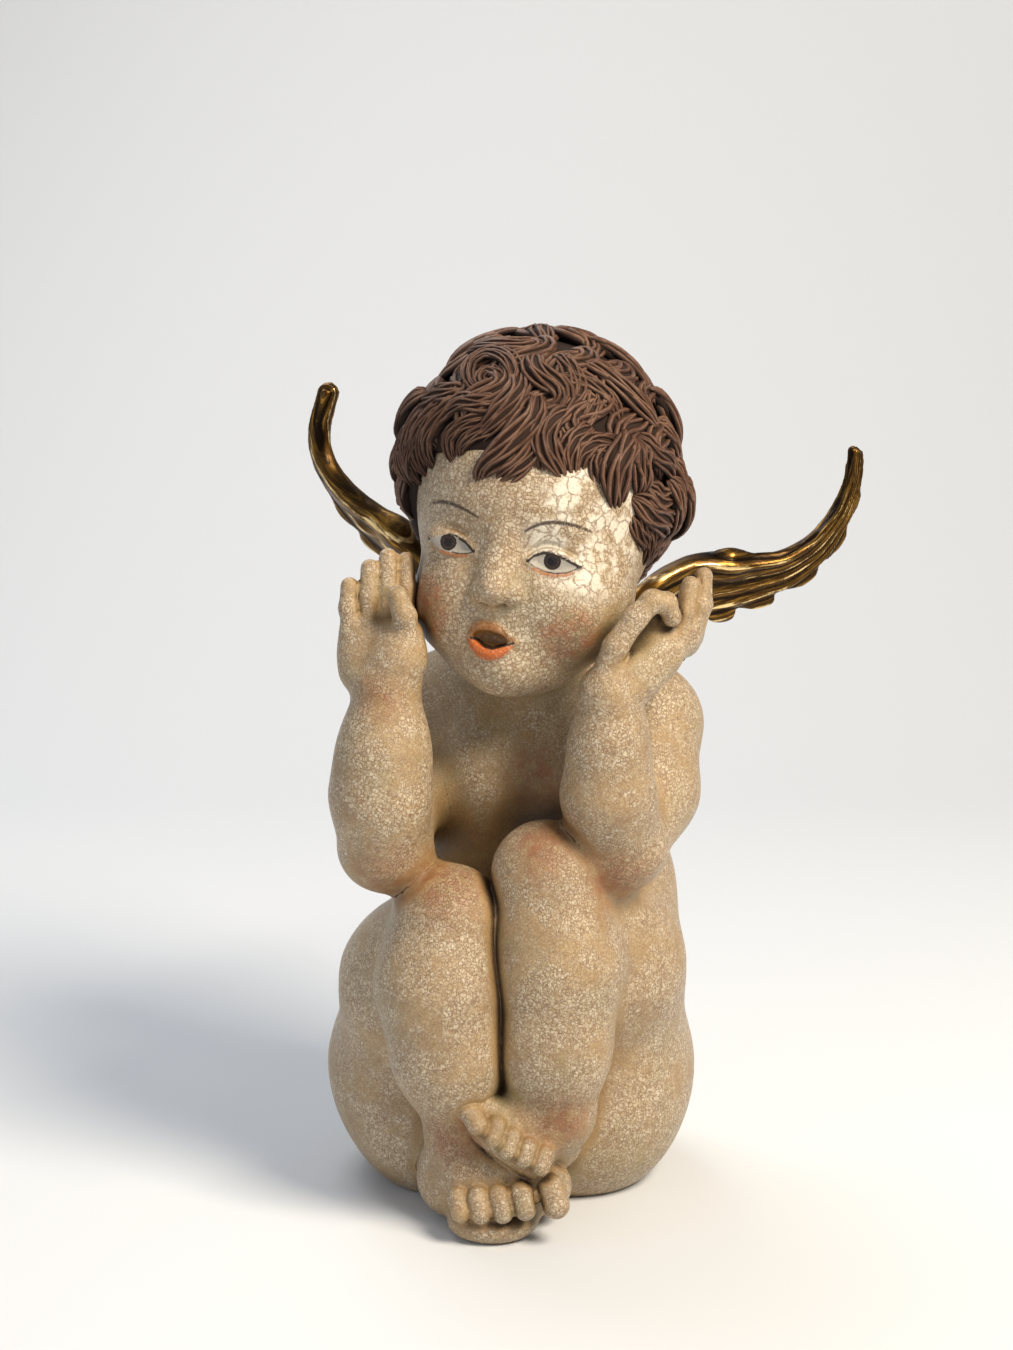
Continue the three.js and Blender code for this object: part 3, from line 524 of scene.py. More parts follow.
def piece_of(
    name: str, bm: bmesh.types.BMesh, finish: Material, slot: Slot, node: str,
    values: dict[str, np.ndarray],
) -> bpy.types.Object:
    """Makes a finished piece of the figure from a mesh in millimetres.

    Args:
        name: the piece's name.
        bm: the mesh, freed here.
        finish: its material.
        slot: the slot that its finish belongs to; not used.
        node: the solid that it stands for.
        values: what the finish reads at each point, by name.

    Returns:
        The piece.
    """
    bmesh.ops.scale(bm, vec=(METRE, METRE, METRE), verts=bm.verts)
    for face in bm.faces:
        face.smooth = True
    mesh = bpy.data.meshes.new(name)
    bm.to_mesh(mesh)
    bm.free()
    for key, value in values.items():
        layer = mesh.attributes.new(key, "FLOAT", "POINT")
        layer.data.foreach_set("value", np.asarray(value, np.float32))
    mesh.materials.append(finish)
    piece = bpy.data.objects.new(name, mesh)
    bpy.context.scene.collection.objects.link(piece)
    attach(piece, "root")
    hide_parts(node)
    triangles = sum(len(p.vertices) - 2 for p in mesh.polygons)
    log.info("%s: %d points, %d triangles", name, len(mesh.vertices), triangles)
    return piece


def measured(bm: bmesh.types.BMesh) -> tuple[np.ndarray, np.ndarray]:
    """The places and outward normals of a mesh's points.

    Args:
        bm: the mesh.

    Returns:
        The places and the normals, one a row each.
    """
    bm.normal_update()
    return places_of(bm), np.array([v.normal for v in bm.verts], float).reshape(-1, 3)


# The figure, in millimetres


@dataclass(frozen=True)
class Limbs:
    """The trunk, legs and arms, with the feet and hands."""

    toe_radius: float = 3.1
    finger_radius: float = 3.1

    def trunk(self) -> Form:
        """The seat, the belly, the chest, the shoulders and the neck.

        Returns:
            The trunk.
        """
        seat = Fuse(14, (
            Egg((3, 8, 46), (46, 37, 42)), Egg((2, 2, 14), (39, 34, 20)),
            Ball((-24, 7, 31), 32), Ball((28, 6, 31), 32),
            Ball((-19, 25, 29), 27), Ball((25, 24, 29), 27),
            Ball((-23, -8, 25), 26), Ball((27, -8, 25), 26.5),
            Egg((10, 14, 90), (46.5, 34, 46)),
            Egg((8, 11, 130), (41, 30, 35)),
        ))
        shoulders = Fuse(12, (
            limb(6, (-27, 14, 150, 17.5), (41, 5, 151, 18.5)),
            limb(6, (8, 11, 158, 26), (8, 3, 188, 24)),
            Egg((8, 15, 162), (34, 22, 15)),
            Ball((-9, -9, 138), 13), Ball((24, -13, 138), 13),
            Ball((-14, 26, 146), 15), Ball((31, 22, 146), 15),
        ))
        grooves = Fuse(0.5, (
            limb(4, (3, 50, 2, 6), (3.5, 54, 28, 4), (4, 52, 50, 1)),
            limb(8, (6, 50, 74, 0.5), (9, 48, 118, 1), (9, 45, 152, 0.5)),
            limb(4, (8, -25, 156, 1), (7, -28, 132, 1.4)),
        ))
        return Carved(Fuse(14, (seat, shoulders)), grooves, 10)

    def legs(self) -> tuple[Form, Form]:
        """The thighs, and the calves with their feet.

        Returns:
            The thighs, and the calves with their feet.
        """
        thighs = Fuse(0.5, (
            limb(16, (-26, 8, 40, 31), (-26, -14, 70, 24), (-17.5, -39, 98, 16.5)),
            limb(16, (28, 8, 41, 31), (28, -11, 75, 26), (12, -40, 113, 16)),
        ))
        right = limb(
            10, (-18, -42, 98, 16.4), (-20, -44, 78, 18.8), (-17.6, -46, 56, 16.2), (-14, -44, 34, 10.8)
        )
        left = limb(
            10, (12, -43, 112, 15.8), (15.6, -43, 85, 19.6), (14.4, -46, 58, 16.4), (15, -46, 37, 10.8)
        )
        under, over = (Near(foot, Ball((3, -52, 24), 34)) for foot in self.feet())
        calves = Fuse(0.5, (Fuse(5, (right, under)), Fuse(5, (left, over))))
        return thighs, Near(calves, Ball((2, -46, 62), 76), 20)

    def toe(self, size: float, *joints: Point) -> Form:
        """A toe that bends at its knuckle and ends in a rounded pad.

        Args:
            size: how thick it is next to the others.
            joints: its root, its knuckle and its tip.

        Returns:
            The toe.
        """
        radius = self.toe_radius * size
        root, knuckle, tip = joints
        return limb(1.2, (*root, radius * 0.94), (*knuckle, radius), (*tip, radius * 0.97))

    def feet(self) -> tuple[Form, Form]:
        """The right foot, which is underneath, and the left foot, which lies on it.

        Returns:
            The right foot and the left foot.
        """
        under = Fuse(5, (
            limb(6, (-14, -42, 32, 11), (-15, -38, 13, 12), (-7, -46, 12, 11)),
            limb(6, (-13, -44, 28, 10), (1, -48, 16, 9.5)),
            limb(5, (-2, -47, 12, 10), (12, -46, 13, 8.5)),
            limb(5, (-11, -49, 20, 9.4), (7, -50, 19, 8.6)),
            Egg((-4.4, -54, 4.6), (14, 10.6, 6)),
        ))
        under_toes = Fuse(0.4, (
            self.toe(1.08, (-14.6, -52, 15), (-14.6, -58.6, 14), (-13.9, -61.6, 10.6)),
            self.toe(1.1, (-9.2, -54, 16.4), (-8.6, -60.8, 15), (-7.7, -63.6, 11.2)),
            self.toe(1.1, (-3.2, -55, 17), (-2.2, -61.6, 15.8), (-1.1, -64.4, 11.8)),
            self.toe(1.12, (3.2, -55, 17.6), (4.6, -61.6, 16.8), (5.7, -64.4, 12.8)),
            self.toe(1.4, (10.6, -53, 17), (14, -59.6, 17.4), (15.2, -63, 13.6)),
        ))
        over = Fuse(5, (
            limb(6, (16, -44, 37, 10.8), (14, -40, 26, 10)),
            limb(6, (15.5, -47, 37, 10.5), (6, -50, 38, 8.6)),
            limb(5, (-7, -53, 41.4, 5.6), (9, -51, 30, 8)),
            limb(4, (-7, -56, 34.6, 3.8), (8, -56, 23, 4.6)),
        ))
        over_toes = Fuse(0.4, (
            self.toe(1.08, (-9, -53, 43.4), (-11.2, -58.5, 42.2), (-8.8, -62.6, 39.4)),
            self.toe(0.92, (-1.6, -55, 40), (-3.2, -60.8, 38.2), (-4.1, -63.4, 35.2)),
            self.toe(0.92, (3.4, -55, 37), (1.4, -60.8, 34.8), (0.4, -63.4, 31.6)),
            self.toe(0.92, (8.2, -55, 34), (6.4, -60.8, 31.6), (5.4, -63.2, 28.6)),
            self.toe(0.96, (12.6, -54, 31), (11.4, -60, 28.8), (10.4, -62.6, 25.9)),
        ))
        return Fuse(1.6, (under, under_toes)), Fuse(1.6, (over, over_toes))

    def finger(self, thickness: float, *joints: Point) -> Form:
        """A finger through its joints, which thins towards the tip.

        Args:
            thickness: how thick it is next to the others.
            joints: its joints, from the root to the tip.

        Returns:
            The finger.
        """
        radius = self.finger_radius * thickness
        bones = []
        for i, (a, b) in enumerate(zip(joints, joints[1:])):
            thin = 0.06 * i
            bones.append(Bone((*a, radius * (1 - thin)), (*b, radius * (0.94 - thin))))
        return Fuse(1.5, tuple(bones))

    def hands(self) -> tuple[Form, Form]:
        """The right hand, open against the cheek, and the left hand, whose thumb lies along it.

        Returns:
            The right hand and the left hand.
        """
        right_palm = Fuse(5, (
            Egg((-39, -37.4, 180), (11.6, 7.2, 13)),
            limb(5, (-36.5, -42, 172, 10), (-32.4, -43, 181, 7.6), (-30.8, -43, 188, 5.6)),
            limb(4, (-45, -38, 176, 5), (-46, -36.5, 188, 4.4)),
        ))
        right_fingers = Fuse(0.4, (
            self.finger(1.02, (-46.8, -38, 187), (-47.8, -37, 195), (-47.6, -35, 201.4)),
            self.finger(1.04, (-41.1, -38, 187), (-41.6, -36.5, 198), (-41.5, -33, 206.6)),
            self.finger(1.04, (-35.7, -38, 188), (-36, -35.5, 200), (-36, -31.5, 209.8)),
            self.finger(0.98, (-30.5, -37, 189), (-30.4, -34, 200.5), (-30.6, -30, 208.6)),
            self.finger(1.2, (-30.2, -44.5, 186), (-30.4, -46.6, 194), (-32.8, -46.2, 200.2)),
        ))
        left_palm = Fuse(4, (
            limb(5, (31, -50, 171, 9), (38.5, -47, 176.4, 7.6), (46, -43, 182, 6.2), (52, -39, 188, 5)),
            Egg((44, -40.5, 188), (9, 5.4, 9)),
            Egg((54, -33, 187), (6, 9, 8)),
        ))
        left_fingers = Fuse(0.4, (
            self.finger(1, (51.6, -42.4, 186), (53.6, -42, 195), (55.4, -40, 202.6)),
            self.finger(1, (55.4, -38.6, 187), (58.3, -37.6, 196), (59.8, -35.4, 204.6)),
            self.finger(1, (57, -32.6, 186), (60, -30.5, 195), (60.4, -27, 202.4)),
            self.finger(0.92, (56, -27, 185), (59, -24, 192), (58.5, -20, 198)),
            self.finger(
                1.32, (29.6, -52.2, 178), (32.4, -53, 186), (38.4, -51.8, 194.6), (43.4, -50.6, 199.4),
                (47.6, -49, 198.6), (49.4, -47.6, 194),
            ),
        ))
        return Fuse(1.4, (right_palm, right_fingers)), Fuse(1.4, (left_palm, left_fingers))

    def arms(self) -> tuple[Form, Form]:
        """The upper arms, and the forearms with their hands.

        Returns:
            The arms with their hands.
        """
        upper = Fuse(0.5, (
            limb(9, (-29, 14, 149, 17), (-36, -11, 133, 15), (-37, -33, 121, 14)),
            limb(9, (44.5, 4, 150, 18), (44, -14, 133, 15.3), (36.5, -33, 121, 14)),
        ))
        right = limb(
            8, (-38, -39, 121, 14), (-38.4, -44, 139, 14), (-37.2, -44, 153, 12.6), (-36, -42, 171, 10)
        )
        left = limb(8, (34.5, -38, 121, 14), (31, -45, 139, 13), (31, -48, 155, 10.8), (31, -50, 171, 9))
        right_hand, left_hand = self.hands()
        right_hand = Near(right_hand, Ball((-38, -38, 190), 26))
        left_hand = Near(left_hand, Ball((46, -38, 188), 30))
        return upper, Fuse(0.5, (Fuse(2.5, (right, right_hand)), Fuse(2.5, (left, left_hand))))

    def form(self) -> Form:
        """The whole body up to the neck.

        Returns:
            The whole body.
        """
        thighs, calves = self.legs()
        upper, fore = self.arms()
        body = Fuse(10, (Fuse(12, (self.trunk(), thighs)), upper))
        return Fuse(4.5, (Fuse(4, (body, calves)), fore))

    def build(self, surroundings: Form, finish: Material) -> bpy.types.Object:
        """Carves the body and writes what its paint reads.

        Args:
            surroundings: everything that shades it.
            finish: the paint.

        Returns:
            The piece.
        """
        form = self.form()
        fine = Fuse(0.5, (
            Ball((-38, -38, 190), 21), Ball((48, -38, 190), 23), Egg((4, -60, 25), (26, 14, 27)),
        ))
        bm = Skin(form, 1.45, [fine]).carve()
        p, normals = measured(bm)
        p[:, 2] = np.maximum(p[:, 2], 0.0)
        put_back(bm, p)
        blush_spots = (
            Ball((-18, -50, 112), 18), Ball((11, -52, 126), 18), Ball((-36, -46, 116), 15),
            Ball((34, -48, 114), 17), Ball((31, -52, 168), 9), Ball((-38, -50, 170), 10),
            Ball((16, -56, 40), 15), Ball((-16, -54, 32), 15), Ball((8, -25, 140), 15),
        )
        # The paint reads how open each point lies: painted shade in the creases, and ivory as painted
        # highlight on the swells.
        values = {
            "open": openness(p, normals, surroundings, (1.5, 4.0, 9.0)),
            "blush": glow(p, blush_spots, 0.7),
            "flake": np.zeros(len(p)),
        }
        return piece_of("body", bm, finish, Slot.PAINT, "figure", values)


HEAD_PLACE = (
    Matrix.Translation((8, -6, 221))
    @ Matrix.Rotation(math.radians(-9), 4, "Z")
    @ Matrix.Rotation(math.radians(8.5), 4, "Y")
)


@dataclass(frozen=True)
class Eye:
    """An eye between two lids: places across the face and up it, from the viewer's left to right."""

    upper: tuple[tuple[float, float], ...]
    lower: tuple[tuple[float, float], ...]
    iris: tuple[float, float]
    brow: tuple[tuple[float, float], tuple[float, float], tuple[float, float]]
    iris_radius: float = 2.6

    @property
    def middle(self) -> tuple[float, float]:
        """The middle of the opening."""
        x = (self.upper[0][0] + self.upper[-1][0]) / 2
        return x, (self.upper[2][1] + self.lower[2][1]) / 2

    def edges(self, x: np.ndarray) -> tuple[np.ndarray, np.ndarray]:
        """The heights of the upper and the lower lid's edge.

        Args:
            x: places across the face.

        Returns:
            The two heights at each place.
        """
        return np.interp(x, *zip(*self.upper)), np.interp(x, *zip(*self.lower))


RIGHT_EYE = Eye(
    upper=((-25.0, -8.4), (-23.2, -7.0), (-20.1, -6.0), (-16.8, -5.8), (-13.4, -6.9), (-10.4, -9.0)),
    lower=((-25.0, -8.6), (-22.1, -10.0), (-18.4, -10.8), (-14.4, -10.6), (-11.9, -10.0), (-10.4, -9.2)),
    iris=(-18.6, -7.9),
    brow=((-27.3, 0.5), (-20.6, 3.4), (-10.4, 1.4)),
)
LEFT_EYE = Eye(
    upper=((6.8, -8.8), (8.0, -7.2), (10.9, -5.8), (14.1, -5.7), (17.3, -6.6), (20.5, -7.9), (21.9, -8.5)),
    lower=((6.8, -8.9), (8.6, -10.1), (11.8, -11.0), (15.1, -11.2), (18.7, -10.4), (21.9, -8.6)),
    iris=(13.7, -7.8),
    brow=((4.6, 0.0), (12.8, 3.9), (23.4, 2.2)),
)


@dataclass(frozen=True)
class Face(Form):
    """The head without its hair, in its own frame, looking along -Y."""

    nose_width: float = 13.5
    lid: float = 1.0
    lip: float = 1.9
    nose_tip: Point = (-1.8, -48.2, -18.0)
    eyes: tuple[Eye, Eye] = (RIGHT_EYE, LEFT_EYE)
    upper_lip: tuple[Point, ...] = (
        (-6.9, -33.7, 0.5), (-6.1, -31.4, 0.75), (-4.7, -30.1, 0.95), (-2.9, -30.7, 0.8),
        (-0.9, -30.2, 0.95), (1.6, -31.2, 0.78), (4.0, -32.6, 0.58), (6.8, -33.6, 0.35),
    )
    lower_lip: tuple[Point, ...] = (
        (-6.9, -34.7, 0.5), (-5.3, -36.6, 0.85), (-2.7, -38.0, 1.0), (0.3, -38.1, 1.0),
        (2.8, -36.9, 0.82), (5.1, -34.9, 0.5),
    )
    mouth: tuple[float, float] = (-1.0, -33.7)
    seam: tuple[tuple[float, float], ...] = (
        (-8, -34.2), (-5.4, -34.6), (-2.4, -36.1), (0.2, -36.3), (4.2, -34.6), (6.6, -33.6), (8.4, -34.0),
    )

    def skull(self) -> Form:
        """The skull with the cheeks and the chin.

        Returns:
            The skull.
        """
        skull = Fuse(18, (
            Egg((2.5, 3, 5), (36.5, 41, 39)),
            Egg((1, -8, 8), (31, 33.4, 29)),
            Egg((3.4, -11, -19), (27, 32, 31)),
        ))
        flesh = Fuse(9, (
            Ball((-12.8, -27.6, -28.5), 15.4), Ball((19, -25, -23.5), 18),
            Ball((2.2, -35, -41), 10.6), Egg((3, -20, -43), (18.6, 17, 10.6)),
        ))
        sockets = Fuse(2, (
            Egg((-17.5, -48.5, -5.5), (10, 7.5, 6.5)), Egg((15, -49.5, -6), (11, 7.5, 6.5)),
            Egg((-8.6, -50, -6), (3.6, 6.5, 8)), Egg((4.8, -51, -7), (3, 6, 8)),
        ))
        return Carved(Fuse(12, (skull, flesh)), sockets, 7)

    def front_of(self, form: Form, x: np.ndarray, z: np.ndarray) -> np.ndarray:
        """Finds a form's front, along the way that the face looks.

        Args:
            form: the form.
            x: places across the face.
            z: places up the face.

        Returns:
            How far forward the surface lies at each place.
        """
        x, z = np.atleast_1d(x), np.atleast_1d(z)
        y = np.full(len(x), -62.0)
        for _ in range(50):
            y += 0.85 * form.distance(np.stack([x, y, z], axis=1))
        return y

    def ridge(self, ground: Form, places: tuple[Point, ...], size: float, sunk: float) -> Form:
        """A rounded ridge that runs over a surface.

        Args:
            ground: the surface.
            places: where it runs: across, up, and how thick it is next to its size.
            size: its radius.
            sunk: how deep its middle lies under the surface.

        Returns:
            The ridge.
        """
        x, z, thick = eased(np.array(places), 3 * len(places), 2).T
        y = self.front_of(ground, x, z) + sunk
        return limb(0.3, *((*p, size * t) for *p, t in zip(x, y, z, thick)))

    @cached_property
    def parts(self) -> dict[str, Form]:
        """The forms of the face by name, each laid on those before it.

        Returns:
            The forms, by name.
        """
        skull = self.skull()
        balls = []
        for eye in self.eyes:
            x, z = eye.middle
            y = float(self.front_of(skull, x, z)[0])
            balls.append(Egg((x, y + 6.4, z), (9.4, 7.7, 7.4)))
        orbs = Fuse(1.5, (skull, *balls))
        lids, folds = [], []
        for eye, orb in zip(self.eyes, balls):
            middle = (orb.centre[0], orb.centre[1] - 5, orb.centre[2])
            ends = (eye.upper[0], eye.upper[-1])
            upper = tuple((x, z + 0.7, 0.85 if (x, z) in ends else 1.1) for x, z in eye.upper)
            lower = tuple((x, z - 0.4, 0.6) for x, z in eye.lower)
            pair = (self.ridge(orbs, upper, self.lid, 0.25), self.ridge(orbs, lower, self.lid, 0.1))
            lids.append(Near(Fuse(0.6, pair), Ball(middle, 11), 4))
            fold = self.ridge(orbs, tuple((x, z + 2.5, 1.0) for x, z in eye.upper[:-1]), 0.5, -0.2)
            folds.append(Near(fold, Ball(middle, 11), 12))
        tip = Vector(self.nose_tip)
        half = self.nose_width / 2 - 2.0
        nose = Fuse(3, (
            Bone((-3.2, -40.4, -3, 3), (-2.4, -43.4, -12, 3.6)), Bone((-2.4, -43.4, -12, 3.6), (*tip, 4.2)),
        ))
        wings = Fuse(0.5, (
            Ball(tuple(tip + Vector((-half + 0.9, 2.8, -1.9))), 2.9),
            Ball(tuple(tip + Vector((half + 1, 2.7, -1.1))), 3.0),
        ))
        nostrils = Fuse(0.3, (
            Bone((-4.3, -46.6, -25, 1.2), (-3.9, -46, -22, 0.9)),
            Bone((1.6, -46.8, -24.6, 1.2), (1.4, -46.2, -21.6, 0.9)),
        ))
        ground = Carved(Fuse(1.2, (orbs, *lids)), Fuse(0.3, tuple(folds)), 1.2)
        ground = Fuse(6.5, (ground, nose))
        upper = self.ridge(ground, self.upper_lip, self.lip, 0.35)
        lower = self.ridge(ground, self.lower_lip, self.lip, 0.2)
        x, z = self.mouth
        y = float(self.front_of(ground, x, z)[0])
        return {
            "ground": ground, "wings": wings, "nostrils": nostrils, "nose": nose,
            "upper": upper, "lower": lower, "hollow": Egg((x, y, z), (5.2, 3.2, 2.4)),
        }

    def distance(self, p: np.ndarray) -> np.ndarray:
        """The distance to the face's surface.

        Args:
            p: the points, one a row.

        Returns:
            One distance a point, negative inside.
        """
        parts = self.parts
        d = parts["ground"].distance(p)
        near = Ball((0, -45, -28), 18).distance(p) < 0.0
        if not near.any():
            return d
        q, e = p[near], d[near]
        e = blend(e, parts["wings"].distance(q), 2.2)
        e = blend(e, np.minimum(parts["upper"].distance(q), parts["lower"].distance(q)), 1.4)
        e = -blend(-e, parts["hollow"].distance(q), 0.8)
        d[near] = -blend(-e, parts["nostrils"].distance(q), 0.8)
        return d

    def rough_out(self, bm: bmesh.types.BMesh, place: Matrix) -> None:
        """Adds the blocks of the skull, the nose and the lips."""
        for form in (self.skull(), *(self.parts[name] for name in ("nose", "wings", "upper", "lower"))):
            form.rough_out(bm, place)

    def paint_lines(self, p: np.ndarray) -> dict[str, np.ndarray]:
        """Lays out what is painted on the face, as distances inside each painted shape.

        Args:
            p: points in the head's frame.

        Returns:
            Distances in millimetres by name, positive inside the shape.
        """
        x, y, z = p.T
        none = np.full(len(p), -9.0)
        white, lash, rim, iris, brow = (none.copy() for _ in range(5))
        for eye in self.eyes:
            upper, lower = eye.edges(x)
            ends = np.minimum(x - eye.upper[0][0], eye.upper[-1][0] - x)
            reach = np.minimum(ends, -(y + 28.0))
            gap = np.minimum(np.minimum(upper - z, z - lower), reach)
            white = np.maximum(white, gap)
            lash = np.maximum(lash, np.minimum(0.5 - np.abs(z - upper - 0.1), reach + 0.7))
            lash = np.maximum(lash, np.minimum(0.2 - np.abs(z - lower), reach + 0.2))
            rim = np.maximum(rim, np.minimum(np.minimum(lower - z, z - lower + 1.2), reach - 1.5))
            away = np.hypot(x - eye.iris[0], z - eye.iris[1])
            iris = np.maximum(iris, np.minimum(eye.iris_radius - away, gap + 0.2))
            brow = np.maximum(brow, np.minimum(0.62 - arc_gap(x, z, *eye.brow), -(y + 22.0)))
        upper, lower, hollow = (-self.parts[name].distance(p) for name in ("upper", "lower", "hollow"))
        seam = np.interp(x, *zip(*self.seam))
        mouth_front = np.minimum(6.9 - np.abs(x + 0.3), -(y + 38.0))
        line = np.minimum(0.36 - np.abs(z - seam), mouth_front)
        return {
            "white": white, "lash": np.maximum(lash, line), "rim": rim, "iris": iris, "brow": brow,
            "lower_lip": np.minimum(lower + 0.25, seam - z), "upper_lip": upper + 0.35,
            "inside": hollow + 0.1,
        }

    def build(self, surroundings: Form, finish: Material) -> bpy.types.Object:
        """Carves the head and writes what its paint reads.

        Args:
            surroundings: everything that shades it.
            finish: the paint.

        Returns:
            The piece.
        """
        front = Egg((0, -40, -17), (30, 26, 28))
        features = Fuse(0.5, (
            Egg((-18.5, -38, -4), (11.5, 9, 10)), Egg((14.5, -42, -4), (12, 9, 10)),
            Egg((0.4, -46, -34), (11, 8, 8.5)), Egg((-1.6, -47, -20), (9.5, 8, 8)),
        ))
        bm = Skin(self, 1.3, [front, features]).carve()
        p, _ = measured(bm)
        values = self.paint_lines(p)
        cheeks = (Ball((-21, -38, -28), 12), Ball((22, -41, -29.5), 11))
        values["blush"] = glow(p, cheeks, 0.4)
        forehead = Egg((22, -34, 2), (22, 24, 24)).distance(p)
        values["flake"] = np.clip(-forehead / 6.0, 0, 1)
        bmesh.ops.transform(bm, matrix=HEAD_PLACE, verts=bm.verts)
        world, normals = measured(bm)
        # The paint reads how open each point lies: painted shade in the creases, and ivory as painted
        # highlight on the swells.
        values["open"] = openness(world, normals, surroundings, (0.8, 2.5, 7.0))
        return piece_of("head", bm, finish, Slot.PAINT, "figure", values)


def arc_gap(x: np.ndarray, z: np.ndarray, *knots: tuple[float, float]) -> np.ndarray:
    """Measures how far points are from a smooth arc through three places.

    Args:
        x: the points' first coordinates.
        z: their second ones.
        knots: the start, the middle and the end of the arc.

    Returns:
        One distance a point.
    """
    start, middle, end = (np.array(knot) for knot in knots)
    pull = 2 * middle - (start + end) / 2
    best = np.full(len(x), np.inf)
    for t in np.linspace(0.0, 1.0, 28):
        spot = (1 - t) ** 2 * start + 2 * t * (1 - t) * pull + t * t * end
        thin = 1.0 + 0.5 * abs(2 * t - 1) ** 2
        best = np.minimum(best, np.hypot(x - spot[0], z - spot[1]) * thin)
    return best


# Hair


@dataclass(frozen=True)
class Lock:
    """A lock of hair: its places on the scalp, down from the crown and around from the face, in degrees."""

    route: tuple[tuple[float, float], ...]
    width: float = 8.0
    lift: float = 2.4
    strands: int = 7


def front_locks() -> list[Lock]:
    """The locks that are seen from the front, each carved where it lies over the brow and the temples."""
    return [
        Lock(((29, -49), (37, -58), (46, -63), (53, -67), (61, -70)), 11, 2.6),
        Lock(((34, -7), (44, -13), (45, -31), (43, -56), (48, -64), (57, -68)), 8, 3.0),
        Lock(
            ((70, -12), (63, -9), (54, -17), (50, -30), (56, -38), (66, -32), (72, -20), (70, -12)), 6, 3.6
        ),
        Lock(((66, -14), (62, -18), (60, -25), (64, -27), (68, -22), (67, -16)), 5, 2.6),
        Lock(((68, -31), (70, -40), (71, -52), (71, -66), (76, -72), (80, -75)), 8, 2.6),
        Lock(((74, -13), (76, -21), (76, -30), (80, -38), (85, -44)), 7, 2.8),
        Lock(((66, -62), (72, -68), (78, -74), (84, -80), (91, -78)), 9, 5.5),
        Lock(((72, -32), (82, -41), (90, -46), (97, -45), (103, -41)), 8, 2.2),
        Lock(((74, -42), (84, -51), (92, -54), (99, -52), (105, -48)), 8, 2.4),
        Lock(((72, -54), (82, -61), (92, -62), (102, -58), (108, -55)), 8, 3.0),
        Lock(((82, -66), (90, -70), (97, -68), (103, -66), (107, -68)), 8, 3.4),
        Lock(((88, -68), (95, -76), (101, -81), (106, -79)), 8, 4.0),
        Lock(((80, 84), (86, 91), (93, 98), (99, 103), (107, 106)), 9, 7.0),
        Lock(((84, 70), (92, 80), (100, 88), (110, 94)), 9, 5.0),
        Lock(((72, -55), (80, -52), (88, -44), (95, -39)), 6, 2.4),
        Lock(((74, -44), (80, -42), (85, -41), (92, -43)), 5, 2.0),
        Lock(((80, -16), (84, -26), (90, -32), (96, -31), (102, -27)), 5.5, 2.2),
        Lock(((83, -12), (88, -20), (94, -26), (100, -25)), 5, 2.0),
        Lock(((59, -10), (68, -6), (75, -8), (83, -13), (88, -18), (94, -22)), 8, 2.8),
        Lock(((68, 0), (79, 2), (88, -3), (94, -7), (99, -13), (104, -16), (109, -13), (112, -10)), 9, 3.2),
        Lock(((78, 3), (88, 4), (94, 2), (100, -3), (104, -7), (108, -10), (112, -12)), 7, 2.6),
        Lock(((81, 4), (91, 6), (97, 7), (104, 5)), 6, 2.2),
        Lock(((80, 8), (90, 9), (97, 12), (103, 10)), 6, 2.0),
        Lock(((48, -7), (58, -4), (63, 2), (66, 9), (70, 11), (76, 7), (82, 3)), 8, 3.4),
        Lock(((45, 3), (53, 11), (60, 15), (66, 16), (72, 12), (80, 8)), 7, 2.8),
        Lock(((56, 22), (66, 23), (75, 21), (84, 14)), 7, 2.4),
        Lock(((72, 14), (79, 8), (86, 6), (92, 9), (97, 15), (100, 18), (104, 21)), 8, 3.4),
        Lock(((77, 24), (84, 17), (91, 16), (97, 19), (101, 23)), 7, 2.8),
        Lock(((80, 36), (83, 25), (89, 20), (95, 21), (100, 26)), 7, 2.4),
        Lock(((80, 33), (90, 28), (96, 31), (101, 37)), 7, 2.2),
        Lock(((74, 41), (84, 37), (91, 35), (98, 37), (104, 41), (107, 47)), 10, 3.6),
        Lock(((76, 44), (85, 46), (92, 51), (99, 55)), 9, 3.2),
        Lock(((74, 44), (79, 56), (78, 68), (80, 80), (84, 90)), 8, 3.0),
        Lock(((58, 6), (60, 20), (65, 33), (75, 40)), 8, 2.6),
        Lock(((46, 17), (54, 34), (60, 47), (63, 62), (68, 74)), 9, 2.8),
        Lock(((17, -14), (18, 16), (20, 40), (26, 60), (35, 72)), 10, 2.2),
        Lock(((20, 30), (28, 50), (36, 66), (44, 78), (51, 86)), 10, 2.6),
        Lock(((44, 70), (52, 80), (60, 86), (66, 91), (70, 98)), 9, 4.6),
        Lock(((62, 62), (67, 78), (73, 88), (80, 94)), 8, 3.2),
        Lock(((74, 74), (82, 84), (90, 91), (97, 94), (103, 99)), 9, 4.4),
        Lock(((98, 48), (102, 60), (100, 76), (101, 90), (108, 98)), 9, 3.4),
        Lock(((92, 54), (95, 64), (90, 76), (88, 90)), 8, 2.8),
        Lock(((104, 50), (110, 58), (113, 70), (120, 76)), 7, 2.6),
        Lock(((106, 62), (112, 72), (119, 80), (126, 84)), 6, 3.0),
        Lock(((22, -40), (20, -22), (33, -6), (46, 3)), 8, 2.8),
        Lock(((20, -50), (28, -55), (38, -56), (46, -50)), 8, 3.2),
        Lock(((80, -62), (86, -66), (93, -70), (99, -72), (105, -70)), 7, 4.0),
        Lock(((84, -50), (92, -56), (100, -60), (107, -64)), 6, 3.0),
        Lock(((86, -72), (94, -78), (103, -81), (112, -85), (119, -90)), 9, 1.4),
        Lock(((98, -68), (106, -75), (113, -78), (121, -82)), 8, 1.2),
    ]


@dataclass(frozen=True)
class LockRow:
    """A row of waved locks around the head."""

    start: float
    end: float
    count: int
    first: float
    last: float
    phase: float
    width: float


